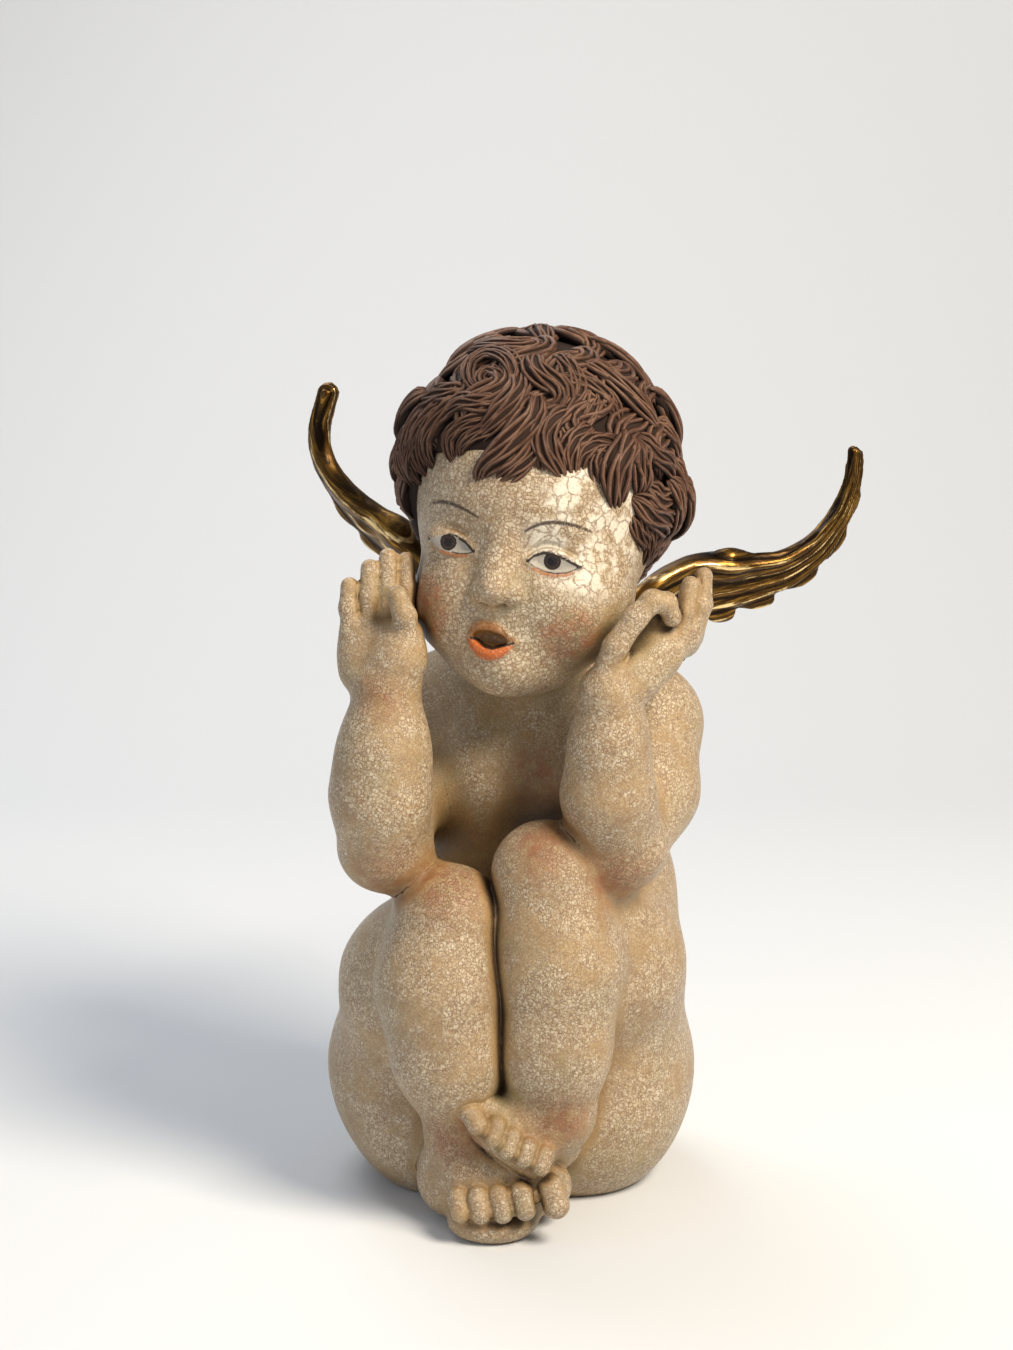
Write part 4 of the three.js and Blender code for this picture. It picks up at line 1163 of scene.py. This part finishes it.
@dataclass(frozen=True)
class Hair:
    """The carved hair: waved locks that lie over a shell on the scalp."""

    crown_tilt: float = 20.0
    scalp_centre: Point = (0.0, 4.0, 8.6)
    scalp_radii: Point = (40.6, 45.0, 44.4)
    wave: float = 7.0
    rows: tuple[LockRow, ...] = (
        LockRow(34, 70, 8, -88, 88, 0.3, 9.5),
        LockRow(57, 91, 9, -86, 86, 0.8, 9),
        LockRow(4, 42, 9, -180, 180, 0.2, 11),
        LockRow(26, 62, 9, 90, 270, 0.7, 12.5),
        LockRow(46, 82, 11, 88, 272, 0.1, 12.5),
        LockRow(66, 100, 12, 86, 274, 0.55, 12.5),
        LockRow(86, 118, 11, 92, 268, 0.9, 12.5),
        LockRow(100, 132, 8, 118, 242, 0.3, 12),
        LockRow(92, 124, 4, 74, 112, 0.5, 8),
        LockRow(88, 116, 4, -116, -84, 0.5, 8),
        LockRow(56, 92, 4, -104, -70, 0.35, 8.5),
    )

    def on_scalp(self, down: np.ndarray, around: np.ndarray, lift: np.ndarray) -> np.ndarray:
        """Places on the scalp.

        Args:
            down: angles from the crown, in degrees.
            around: angles from the face, in degrees.
            lift: heights over the scalp, in millimetres.

        Returns:
            The places in the head's frame, one a row.
        """
        down, around, tilt = np.radians(down), np.radians(around), math.radians(self.crown_tilt)
        axis = np.array((0, math.sin(tilt), math.cos(tilt)))
        front = np.array((0, -math.cos(tilt), math.sin(tilt)))
        ray = (
            np.outer(np.cos(down), axis)
            + np.outer(np.sin(down) * np.cos(around), front)
            + np.outer(np.sin(down) * np.sin(around), (1, 0, 0))
        )
        reach = 1 / np.linalg.norm(ray / np.array(self.scalp_radii), axis=1)
        return ray * (reach + lift)[:, None] + np.array(self.scalp_centre)

    def shell(self) -> Form:
        """The scalp under the locks, down to the hairline."""
        below = UnderLines(((0.25, -40, 19), (1.7, -24, 14)))
        return Carved(Egg((0.4, 4.5, 9), (41.5, 47, 44.5)), below, 4)

    def row_locks(self) -> list[Lock]:
        """The locks of every row.

        Returns:
            The locks, row by row.
        """
        locks = []
        for row in self.rows:
            turns = row.count if row.last - row.first >= 360 else row.count - 1
            for i in range(row.count):
                around = row.first + (row.last - row.first) * i / turns
                lean = self.wave * (1 if row.count % 2 else -1)
                route = []
                for t in np.linspace(0, 1, 8):
                    down = row.start + (row.end - row.start) * t
                    wave = lean * math.sin(2 * math.pi * (1.2 * t + row.phase + 0.05 * i))
                    route.append((down, around + wave / max(math.sin(math.radians(down)), 0.35)))
                locks.append(Lock(tuple(route), row.width, 0.9 + 0.6 * (i % 2), 6))
        return locks

    def blank(self, sides: int, rings: int) -> tuple[bpy.types.Mesh, np.ndarray]:
        """A straight closed tube along Z, one unit long and one in radius.

        Args:
            sides: how many sides it has.
            rings: how many rings of points.

        Returns:
            The mesh that strands are bent from, and its points.
        """
        bm = bmesh.new()
        bmesh.ops.create_cone(bm, cap_ends=True, segments=sides, radius1=1, radius2=1, depth=1)
        long = [e for e in bm.edges if abs(e.verts[0].co.z - e.verts[1].co.z) > 0.5]
        bmesh.ops.subdivide_edges(bm, edges=long, cuts=rings - 2)
        unit = places_of(bm)
        mesh = bpy.data.meshes.new("blank_strand")
        bm.to_mesh(mesh)
        bm.free()
        return mesh, unit

    def course(self, lock: Lock) -> tuple[np.ndarray, np.ndarray, np.ndarray]:
        """Follows a lock over the scalp.

        Args:
            lock: the lock.

        Returns:
            Ninety places along it, and at each the ways outward and sideways.
        """
        fine = np.linspace(0, 1, 90)
        rough = eased(np.array(lock.route, float), 90, 26).T
        rise = lock.lift * np.sin(np.pi * np.clip(0.12 + 0.86 * fine, 0, 1)) ** 0.6 - 0.4
        rise -= 2.4 * np.clip((fine - 0.55) / 0.45, 0, 1) ** 2
        spine = self.on_scalp(rough[0], rough[1], rise)
        along = np.gradient(spine, axis=0)
        along /= np.linalg.norm(along, axis=1)[:, None]
        out = spine - np.array(self.scalp_centre)
        out -= (out * along).sum(axis=1)[:, None] * along
        out /= np.linalg.norm(out, axis=1)[:, None]
        return spine, out, np.cross(along, out)

    def strand(
        self, lock: Lock, course: tuple[np.ndarray, ...], unit: np.ndarray, index: int
    ) -> np.ndarray:
        """Bends the blank into one strand of a lock, or into the mass that lies under its strands.

        Args:
            lock: the lock.
            course: the lock's places and ways.
            unit: the blank's points.
            index: which strand, or one below nought for the mass.

        Returns:
            The strand's points.
        """
        half, count = 0.5 * lock.width, lock.strands
        mass = index < 0
        reach = 0.97 if mass else 0.9 + 0.1 * ((index * 3) % 5) / 4
        t = (unit[:, 2] + 0.5) * reach
        fine = np.linspace(0, 1, 90)
        here, out, side = (
            np.stack([np.interp(t, fine, column) for column in line.T], axis=1) for line in course
        )
        full = np.clip(np.minimum((t + 0.02) / 0.16, (1.03 - t) / 0.5), 0.03, 1.0) ** 0.7
        if mass:
            wide, high = (unit[:, 0] * half * 0.92 * full, unit[:, 1] * half * 0.5 * full)
            return here + side * wide[:, None] + out * high[:, None]
        place = 0.84 * (2 * index / (count - 1) - 1)
        sway = 0.2 * np.sin(2 * np.pi * (1.3 * t + 0.31 * index + 0.13 * len(lock.route)))
        arch = 0.52 * math.sqrt(1 - place * place)
        ends = np.clip(np.minimum((unit[:, 2] + 0.52) / 0.12, (0.52 - unit[:, 2]) / 0.34), 0.04, 1.0) ** 0.8
        size = 1.22 * half / count * ends * (1 + 0.2 * math.cos(5 * index))
        aside = (place + sway) * half * full + unit[:, 0] * size
        up = arch * half * full + unit[:, 1] * size * 1.05
        return here + side * aside[:, None] + out * up[:, None]

    def build(self, surroundings: Form, finish: Material) -> bpy.types.Object:
        """Carves the hair and writes what its paint reads.

        Args:
            surroundings: everything that shades it.
            finish: the paint.

        Returns:
            The piece.
        """
        bm = Skin(self.shell(), 2.0).carve()
        ridges, turns, runs = [[np.full(len(bm.verts), value)] for value in (0.1, 0.0, 0.0)]
        thin, thin_unit = self.blank(5, 16)
        thick, thick_unit = self.blank(10, 13)
        for lock in self.row_locks() + front_locks():
            course = self.course(lock)
            for index in range(-1, lock.strands):
                mesh, unit = (thick, thick_unit) if index < 0 else (thin, thin_unit)
                mesh.vertices.foreach_set("co", self.strand(lock, course, unit, index).ravel())
                bm.from_mesh(mesh)
                ridges.append(np.clip(unit[:, 1], 0, 1) * (0.25 if index < 0 else 1.0))
                turns.append(unit[:, 0] * 1.2 + len(turns) * 3.7)
                runs.append(unit[:, 2] * 24.0)
        bpy.data.meshes.remove(thin)
        bpy.data.meshes.remove(thick)
        bmesh.ops.recalc_face_normals(bm, faces=bm.faces)
        bmesh.ops.transform(bm, matrix=HEAD_PLACE, verts=bm.verts)
        world, normals = measured(bm)
        # The paint reads how open each point lies, as painted shade close to the scalp.
        values = {
            "ridge": np.concatenate(ridges), "turn": np.concatenate(turns), "run": np.concatenate(runs),
            "open": openness(world, normals, surroundings, (2.0, 6.0)),
        }
        return piece_of("hair", bm, finish, Slot.PAINT, "figure", values)


# Wings


@dataclass(frozen=True)
class Wing:
    """A gilded wing, whose long feathers run along it as ridges and draw together at the tip."""

    node: str
    spine: tuple[Point, ...]
    sweep: Point
    feathers: float
    depth: float
    reach: tuple[float, ...] = (20, 23, 23, 18, 11.5, 6.5, 3.5)

    def lie(self, p: np.ndarray) -> tuple[np.ndarray, np.ndarray]:
        """Lays points out on the flat wing.

        Args:
            p: points on the wing.

        Returns:
            How far along the wing each lies, and which share of its breadth it is down from the front edge.
        """
        line = eased(np.array(self.spine), 90, 6)
        ahead = np.gradient(line, axis=0)
        ahead /= np.linalg.norm(ahead, axis=1)[:, None]
        chord = np.array(self.sweep) - (ahead @ np.array(self.sweep))[:, None] * ahead
        chord /= np.linalg.norm(chord, axis=1)[:, None]
        lengths = np.concatenate([[0], np.cumsum(np.linalg.norm(np.diff(line, axis=0), axis=1))])
        nearest = np.argmin(((p[:, None, :] - line[None]) ** 2).sum(axis=2), axis=1)
        gap = p - line[nearest]
        along = lengths[nearest] + (gap * ahead[nearest]).sum(axis=1)
        down = (gap * chord[nearest]).sum(axis=1)
        breadth = np.interp(along / lengths[-1], np.linspace(0, 1, len(self.reach)), self.reach)
        return along, down / breadth

    def build(self, finish: Material) -> bpy.types.Object:
        """Carves the feathers into the solid wing and writes what its gilding reads.

        Args:
            finish: the gilding.

        Returns:
            The piece.
        """
        bm = bmesh.new()
        bm.from_mesh(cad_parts[self.node].data)
        bmesh.ops.scale(bm, vec=(1 / METRE,) * 3, verts=bm.verts)
        bm = even_skin(bm, 0.75)
        for _ in range(5):
            bmesh.ops.smooth_vert(bm, verts=bm.verts, **EVENLY)
        keep_largest(bm)
        p, normals = measured(bm)
        along, down = self.lie(p)
        turns = self.feathers * down + 0.35 * np.sin(along / 17.0)
        crest = 1 - np.abs(2 * (turns - np.floor(turns)) - 1) ** 1.4
        put_back(bm, p + normals * (self.depth * (crest - 0.6))[:, None])
        values = {"crest": crest, "along": along, "down": down * 20.0}
        return piece_of(self.node + "_gilded", bm, finish, Slot.GILT, self.node, values)


WINGS = (
    Wing(
        "right_wing",
        ((-2, 30, 158), (-18, 42, 184), (-36, 51, 205), (-49, 58, 214), (-57, 63, 220.5), (-62.5, 67, 229),
         (-64, 68, 239), (-60.5, 67, 252)),
        (0, 0.62, -0.78), 1.7, 0.8,
    ),
    Wing(
        "left_wing",
        ((26, 29, 160), (44, 38, 184), (63, 46, 195), (79, 51, 195.5), (93.5, 55, 196.5), (104.5, 58, 202),
         (112.5, 60, 211.5), (117, 61, 222.5), (117.5, 60, 233)),
        (0.42, 0.42, -0.8), 3.3, 1.1,
    ),
)


# Finishes


def linear(code: str) -> Colour:
    """Turns an sRGB hex colour to linear.

    Args:
        code: six hex digits.

    Returns:
        The linear colour with an alpha of one.
    """
    parts = [int(code[i:i + 2], 16) / 255 for i in (0, 2, 4)]
    return (*(c / 12.92 if c <= 0.04045 else ((c + 0.055) / 1.055) ** 2.4 for c in parts), 1.0)


SMOOTH = {"interpolation_type": "SMOOTHSTEP"}


class Recipe:
    """A material under way."""

    def __init__(self, name: str) -> None:
        """Starts a material with an empty tree.

        Args:
            name: the material's name.
        """
        self.material = bpy.data.materials.new(name)
        self.material.use_nodes = True
        self.tree = self.material.node_tree
        self.tree.nodes.clear()
        self.output = self.tree.nodes.new("ShaderNodeOutputMaterial")

    def add(self, kind: str, links: dict | None = None, **settings: object) -> bpy.types.Node:
        """Adds a node with its settings and links.

        Args:
            kind: the node's type, without ShaderNode.
            links: a socket or a plain value for each named or numbered input.
            settings: the node's own settings.

        Returns:
            The node.
        """
        made = self.tree.nodes.new("ShaderNode" + kind)
        for key, value in settings.items():
            setattr(made, key, value)
        for key, value in (links or {}).items():
            if isinstance(value, bpy.types.NodeSocket):
                self.tree.links.new(value, made.inputs[key])
            else:
                made.inputs[key].default_value = value
        return made

    def millimetres(self) -> Socket:
        """The place on the piece, in millimetres."""
        here = self.add("TexCoord").outputs["Object"]
        return self.add("VectorMath", {0: here, 3: 1.0 / METRE}, operation="SCALE").outputs[0]

    def values(self, *names: str) -> list[Socket]:
        """What the mesh's points carry under several names."""
        return [self.add("Attribute", attribute_name=name).outputs["Fac"] for name in names]

    def where(self, *masks: Socket | float) -> Socket | float:
        """Finds where several masks meet.

        Args:
            masks: the masks, or plain shares.

        Returns:
            The mask of the places that lie in every one of them.
        """
        meeting = masks[0]
        for mask in masks[1:]:
            links = {0: meeting, 1: mask}
            meeting = self.add("Math", links, operation="MULTIPLY", use_clamp=True).outputs[0]
        return meeting

    def coated(self, ground: Socket | Colour, *coats: tuple) -> Socket:
        """Lays coats of colour over each other.

        Args:
            ground: the colour under them.
            coats: each coat's hex colour, and the masks that it lies within.

        Returns:
            The colour on top.
        """
        for colour, *masks in coats:
            links = {0: self.where(*masks), 6: ground, 7: linear(colour)}
            ground = self.add("Mix", links, data_type="RGBA").outputs[2]
        return ground

    def finished(
        self, look: dict, height: Socket | None = None, depth: float = 0.0, strength: float = 1.0
    ) -> Material:
        """Ends the material with its shader.

        Args:
            look: the shader's inputs.
            height: the relief that the light sees.
            depth: how deep the relief is, in millimetres.
            strength: how plainly it shows.

        Returns:
            The material.
        """
        if height is not None:
            relief = {"Height": height, "Strength": strength, "Distance": depth * METRE}
            look["Normal"] = self.add("Bump", relief).outputs[0]
        shader = self.add("BsdfPrincipled", look)
        self.tree.links.new(shader.outputs[0], self.output.inputs[0])
        return self.material


@dataclass(frozen=True)
class CrackedPaint:
    """Old oil paint on gessoed wood: a tan skin, ivory on the swells as painted highlight over its own pale
    coat, crazed into small islands.

    The eye sees warm tan in the flats, pale ivory islands a millimetre or two across on the swells, laid
    there partly as painted highlight, with thin brown cracks between them, chalky flakes on one temple, a
    brown glaze in every hollow and crease that is partly the paint's own and partly painted shade, and a
    soft gloss where hands have rubbed it.
    """

    tan: str = "AA8D62"
    umber: str = "7E613E"
    ivory: str = "DCCFB6"
    moss: str = "8E8E6A"
    crack: str = "6E4A2C"
    glaze_and_shade: str = "2C1C12"
    rose: str = "AA5E36"
    amber: str = "8E5230"
    chalk: str = "E8E2D2"
    face_island: float = 1.35
    body_island: float = 1.08
    flake: float = 4.6

    def craze(self, r: Recipe, places: Socket, size: float, width: float) -> tuple[Socket, Socket]:
        """Crazes the paint into islands.

        Args:
            r: the material under way.
            places: where on the piece, in millimetres.
            size: how wide an island is, in millimetres.
            width: how wide a crack is next to its island.

        Returns:
            The cracks, and each island's own tint.
        """
        cells = {"Vector": places, "Scale": 1.0 / size, "Randomness": 1.0}
        gap = r.add("TexVoronoi", cells, feature="DISTANCE_TO_EDGE").outputs["Distance"]
        tint = r.add("TexVoronoi", cells, feature="F1").outputs["Color"]
        crack = r.add("MapRange", {"Value": gap, 1: 0.0, 2: width, 3: 1.0, 4: 0.0}, **SMOOTH).outputs[0]
        return crack, r.add("SeparateColor", {0: tint}).outputs[0]

    def material(self, name: str, face: bool) -> Material:
        """Mixes the paint.

        Args:
            name: the material's name.
            face: whether it is the face's, which is paler and has the eyes, brows and lips painted on it.

        Returns:
            The material.
        """
        r = Recipe(name)
        mm = r.millimetres()
        chalky, opened, blush = r.values("flake", "open", "blush")

        def cloud(scale: float, detail: float, low: float, high: float) -> Socket:
            """Scatters soft patches."""
            noise = r.add("TexNoise", {"Vector": mm, "Scale": scale, "Detail": detail, "Roughness": 0.62})
            return r.add("MapRange", {"Value": noise.outputs[0], 1: low, 2: high}, **SMOOTH).outputs[0]

        warp = r.add("TexNoise", {"Vector": mm, "Scale": 0.5, "Detail": 3.0, "Roughness": 0.65})
        warp = r.add("VectorMath", {0: warp.outputs["Color"], 1: (0.5, 0.5, 0.5)}, operation="SUBTRACT")
        warp = r.add("VectorMath", {0: warp.outputs[0], 3: 2.6}, operation="SCALE")
        bent = r.add("VectorMath", {0: mm, 1: warp.outputs[0]}).outputs[0]
        fine_crack, fine_tint = self.craze(r, bent, self.face_island if face else self.body_island, 0.22)
        wide_crack, wide_tint = self.craze(r, bent, self.flake, 0.1)
        chalked = r.where(cloud(0.11, 3.0, 0.4, 0.52), chalky)
        crack = r.add("Mix", {0: chalked, 2: fine_crack, 3: wide_crack}).outputs[0]
        tint = r.add("Mix", {0: chalked, 2: fine_tint, 3: wide_tint}).outputs[0]

        # Painted highlight: the ivory coat is laid on the open swells and kept out of the creases, over the
        # paint's own pale islands.
        low, high = (0.45, 0.82) if face else (0.62, 0.95)
        swell = r.add("MapRange", {"Value": opened, 1: low, 2: high}, **SMOOTH).outputs[0]
        least = {0: cloud(0.075, 6.0, 0.36, 0.6), 1: 0.6 if face else 0.3}
        pale = r.where(r.add("Math", least, operation="ADD", use_clamp=True).outputs[0], swell)
        shade = r.add("MapRange", {"Value": tint, 3: 0.35, 4: 1.0}).outputs[0]
        kept = r.add("MapRange", {"Value": blush, 3: 0.85 if face else 0.8, 4: 0.28}).outputs[0]
        crazed = r.add("MapRange", {"Value": pale, 3: 0.3, 4: 1.0}).outputs[0]
        lines = r.where(crack, crazed, cloud(0.6, 4.0, 0.26, 0.5))
        grime = r.add("TexNoise", {"Vector": mm, "Scale": 1.1, "Detail": 5.0, "Roughness": 0.72}).outputs[0]
        # Painted shade: the brown glaze darkens the creases, the hollows and the gaps between the parts,
        # along with the paint's own glaze.
        stain_and_shade = r.add("Math", {0: grime, 1: 0.3, 2: opened}, operation="MULTIPLY_ADD").outputs[0]
        limits = {"Value": stain_and_shade, 1: 0.22, 2: 0.86, 3: 0.92, 4: 0.0}
        hollow = r.add("MapRange", limits, **SMOOTH).outputs[0]
        base = r.coated(
            linear(self.tan),
            (self.umber, cloud(0.05, 5.0, 0.42, 0.66), 0.55),
            (self.moss, cloud(0.035, 4.0, 0.5, 0.66), 0.4),
            (self.rose if face else self.amber, blush, cloud(0.25, 5.0, 0.3, 0.66), 0.85),
            (self.ivory, pale, shade, kept),
            (self.chalk, chalked, 0.7),
            (self.crack, lines, 0.72),
            (self.umber, cloud(1.6, 4.0, 0.5, 0.68), 0.45),
            (self.glaze_and_shade, cloud(0.42, 7.0, 0.68, 0.73), 0.7),
            (self.glaze_and_shade, hollow),
        )
        if face:
            base = r.coated(base, *self.features(r, grime))
        rough = r.add("MapRange", {"Value": grime, 1: 0.3, 2: 0.7, 3: 0.26, 4: 0.46}).outputs[0]
        level = r.add("Math", {0: lines, 1: -0.6, 2: grime}, operation="MULTIPLY_ADD").outputs[0]
        return r.finished({"Base Color": base, "Roughness": rough, "IOR": 1.45}, level, 0.35, 0.6)

    def features(self, r: Recipe, grime: Socket) -> list[tuple[str, Socket]]:
        """The strokes of the lips, the eyes and the brows.

        Args:
            r: the material under way.
            grime: a fine unevenness, which breaks the strokes' edges.

        Returns:
            Each stroke's colour and mask.
        """
        strokes = (
            ("upper_lip", "8E5410", 0.8, 0.1, 0.9), ("lower_lip", "C45A00", 0.7, 0.05, 0.95),
            ("inside", "845620", 0.5, 0.0, 0.95), ("rim", "B86E38", 0.7, 0.0, 0.75),
            ("white", "A8A195", 0.14, 0.0, 1.0), ("iris", "1E130E", 0.2, 0.0, 1.0),
            ("iris", "3A2920", 0.3, 0.5, 0.8), ("iris", "0A0605", 0.3, 1.1, 1.0),
            ("lash", "1E120D", 0.3, 0.0, 0.95), ("brow", "35231A", 0.62, 0.0, 0.9),
        )
        shaken = r.add("Math", {0: grime, 1: 0.5}, operation="SUBTRACT").outputs[0]
        coats = []
        for name, colour, edge, inset, strength in strokes:
            inside = r.values(name)[0]
            torn = r.add("Math", {0: shaken, 1: edge, 2: inside}, operation="MULTIPLY_ADD").outputs[0]
            limits = {"Value": torn, 1: inset - edge / 2, 2: inset + edge / 2, 4: strength}
            coats.append((colour, r.add("MapRange", limits, **SMOOTH).outputs[0]))
        return coats


@dataclass(frozen=True)
class HairPaint:
    """Brown oil paint over carved wood, dry-brushed with a reddish brown.

    The eye sees near-black grooves, darker still as painted shade where the strands lie close to the scalp,
    a warm brown on the strands, fine lines along them, and a dusty pink on a few crests.
    """

    groove: str = "1E120C"
    brown: str = "543625"
    crest: str = "8C6A55"

    def material(self) -> Material:
        """Mixes the paint.

        Returns:
            The material.
        """
        r = Recipe("dry_brushed_hair_paint")
        ridge, turn, run, opened = r.values("ridge", "turn", "run", "open")
        flow = r.add("Math", {0: run, 1: 0.14}, operation="MULTIPLY").outputs[0]
        flow = r.add("CombineXYZ", {0: flow, 1: turn}).outputs[0]
        fine = r.add("TexNoise", {"Vector": flow, "Scale": 2.4, "Detail": 4.0, "Roughness": 0.7}).outputs[0]
        places = {"Vector": r.millimetres(), "Scale": 0.13, "Detail": 5.0, "Roughness": 0.65}
        brushed = r.add("TexNoise", places).outputs[0]
        raised = r.add("MapRange", {"Value": ridge, 1: 0.0, 2: 0.7}, **SMOOTH).outputs[0]
        caught = r.add("Math", {0: brushed, 1: 1.3, 2: ridge}, operation="MULTIPLY_ADD").outputs[0]
        caught = r.add("Math", {0: fine, 1: 1.1, 2: caught}, operation="MULTIPLY_ADD").outputs[0]
        caught = r.add("MapRange", {"Value": caught, 1: 1.8, 2: 2.35, 4: 0.8}, **SMOOTH).outputs[0]
        dark = r.add("MapRange", {"Value": fine, 1: 0.5, 2: 0.32, 4: 0.6}).outputs[0]
        # Painted shade: the groove colour darkens the strands where they lie close to the scalp.
        deep = r.add("MapRange", {"Value": opened, 1: 0.0, 2: 0.6, 3: 0.85, 4: 0.0}).outputs[0]
        base = r.coated(
            linear(self.groove),
            (self.brown, raised),
            (self.crest, caught),
            (self.groove, dark),
            (self.groove, deep),
        )
        rough = r.add("MapRange", {"Value": ridge, 1: 0.1, 2: 0.7, 3: 0.9, 4: 0.45}).outputs[0]
        return r.finished({"Base Color": base, "Roughness": rough, "IOR": 1.4}, fine, 0.5, 0.8)


@dataclass(frozen=True)
class OldGilding:
    """Gold leaf on carved wood, worn and toned down to a dark glossy bronze.

    The eye sees brown metal that runs along the wing in soft streaks, with bright gold on the crests of the
    feathers, partly rubbed leaf and partly painted highlight, and near-black in the grooves.
    """

    bronze: str = "4A3418"
    groove: str = "1E140A"
    gold: str = "A87C36"
    bright: str = "FFDFA0"

    def material(self) -> Material:
        """Lays the leaf.

        Returns:
            The material.
        """
        r = Recipe("worn_gold_leaf")
        along, down, crest = r.values("along", "down", "crest")
        flow = r.add("Math", {0: along, 1: 0.09}, operation="MULTIPLY").outputs[0]
        flow = r.add("CombineXYZ", {0: flow, 1: down}).outputs[0]
        grain = {"Vector": flow, "Scale": 0.9, "Detail": 4.0, "Roughness": 0.6}
        streak = r.add("TexNoise", grain).outputs[0]
        wear_and_glint = r.add("TexNoise", {"Vector": r.millimetres(), "Scale": 0.12, "Detail": 3.0}).outputs[0]
        low = r.add("MapRange", {"Value": crest, 1: 0.1, 2: 0.6}, **SMOOTH).outputs[0]
        golden = r.add("MapRange", {"Value": streak, 1: 0.45, 2: 0.68}, **SMOOTH).outputs[0]
        # Painted highlight: the bright gold on the crests is partly leaf rubbed bare and partly a painted
        # glint.
        edge = r.add("Math", {0: streak, 1: 0.55, 2: crest}, operation="MULTIPLY_ADD").outputs[0]
        edge = r.add("Math", {0: wear_and_glint, 1: 0.5, 2: edge}, operation="MULTIPLY_ADD").outputs[0]
        edge = r.add("MapRange", {"Value": edge, 1: 1.44, 2: 1.58}, **SMOOTH).outputs[0]
        base = r.coated(
            linear(self.groove), (self.bronze, low), (self.gold, golden, low), (self.bright, edge)
        )
        rough = r.add("MapRange", {"Value": streak, 1: 0.3, 2: 0.7, 3: 0.42, 4: 0.24}).outputs[0]
        return r.finished({"Base Color": base, "Roughness": rough, "Metallic": 0.9}, streak, 0.4, 0.5)


# Setting


@dataclass(frozen=True)
class Studio:
    """A pale floor that runs up behind the figure, soft lights, and the photograph's camera."""

    camera_place: Point = (0.0, -0.7765, 0.3181)
    look_down: float = 11.0
    lens: float = 65.92
    film: float = 36.0
    floor_half: float = 1.6
    sweep_start: float = 0.5
    sweep_radius: float = 0.5
    pale: str = "DDE1E6"

    def backdrop(self) -> None:
        """Lays the floor and its sweep."""
        bm = bmesh.new()
        corners = [(-self.floor_half, -self.floor_half, 0), (self.floor_half, -self.floor_half, 0)]
        edge = bm.edges.new([bm.verts.new(c) for c in corners])
        grown = bmesh.ops.extrude_edge_only(bm, edges=[edge])
        verts = [g for g in grown["geom"] if isinstance(g, bmesh.types.BMVert)]
        bmesh.ops.translate(bm, vec=(0, self.floor_half + self.sweep_start, 0), verts=verts)
        last = [g for g in grown["geom"] if isinstance(g, bmesh.types.BMEdge)]
        bmesh.ops.spin(
            bm, geom=last + verts, cent=(0, self.sweep_start, self.sweep_radius), axis=(1, 0, 0),
            angle=math.radians(90), steps=24,
        )
        bmesh.ops.recalc_face_normals(bm, faces=bm.faces)
        for face in bm.faces:
            face.smooth = True
        mesh = bpy.data.meshes.new("floor")
        bm.to_mesh(mesh)
        bm.free()
        r = Recipe("pale_studio_paper")
        mesh.materials.append(r.finished({"Base Color": linear(self.pale), "Roughness": 0.9}))
        floor = bpy.data.objects.new("floor", mesh)
        bpy.context.scene.collection.objects.link(floor)

    def lamp(self, name: str, place: Point, target: Point, power: float, size: float, colour: str) -> None:
        """Hangs a soft light.

        Args:
            name: its name.
            place: where it hangs.
            target: what it faces.
            power: in watts.
            size: its side, in metres.
            colour: its hex colour.
        """
        light = bpy.data.lights.new(name, "AREA")
        light.energy = power
        light.size = size
        light.color = linear(colour)[:3]
        lamp = bpy.data.objects.new(name, light)
        lamp.location = place
        lamp.rotation_euler = (Vector(target) - Vector(place)).to_track_quat("-Z", "Y").to_euler()
        bpy.context.scene.collection.objects.link(lamp)

    def build(self) -> None:
        """Sets up the floor, the lights and the camera."""
        self.backdrop()
        middle = (0.0, 0.0, 0.15)
        self.lamp("window", (0.62, -0.6, 1.0), middle, 20.5, 0.42, "FFF1DC")
        self.lamp("fill", (-1.0, -0.7, 0.5), middle, 2.4, 0.9, "E8F0FF")
        self.lamp("back", (-0.3, 0.45, 0.9), middle, 4, 0.6, "FFFFFF")
        world = bpy.data.worlds.new("soft_room")
        world.use_nodes = True
        world.node_tree.nodes["Background"].inputs[0].default_value = linear("E6EAF0")
        world.node_tree.nodes["Background"].inputs[1].default_value = 0.3
        bpy.context.scene.world = world
        bpy.context.scene.view_settings.view_transform = "Standard"
        data = bpy.data.cameras.new("camera")
        data.lens = self.lens
        data.sensor_width = self.film
        data.clip_start = 0.05
        camera = bpy.data.objects.new("camera", data)
        camera.location = self.camera_place
        camera.rotation_euler = (math.radians(90 - self.look_down), 0, 0)
        bpy.context.scene.collection.objects.link(camera)
        bpy.context.scene.camera = camera


def main() -> None:
    """Builds the figure, its wings and the studio."""
    logging.basicConfig(level=logging.INFO, format="%(name)s: %(message)s")
    Studio().build()
    limbs, face, hair = Limbs(), Face(), Hair()
    surroundings = Fuse(1.0, (limbs.form(), Placed(Fuse(1.0, (face, hair.shell())), HEAD_PLACE)))
    paint = CrackedPaint()
    limbs.build(surroundings, paint.material("crazed_ivory_paint", face=False))
    face.build(surroundings, paint.material("crazed_face_paint", face=True))
    hair.build(Placed(hair.shell(), HEAD_PLACE), HairPaint().material())
    gilding = OldGilding().material()
    for wing in WINGS:
        wing.build(gilding)


if __name__ == "__main__":
    main()
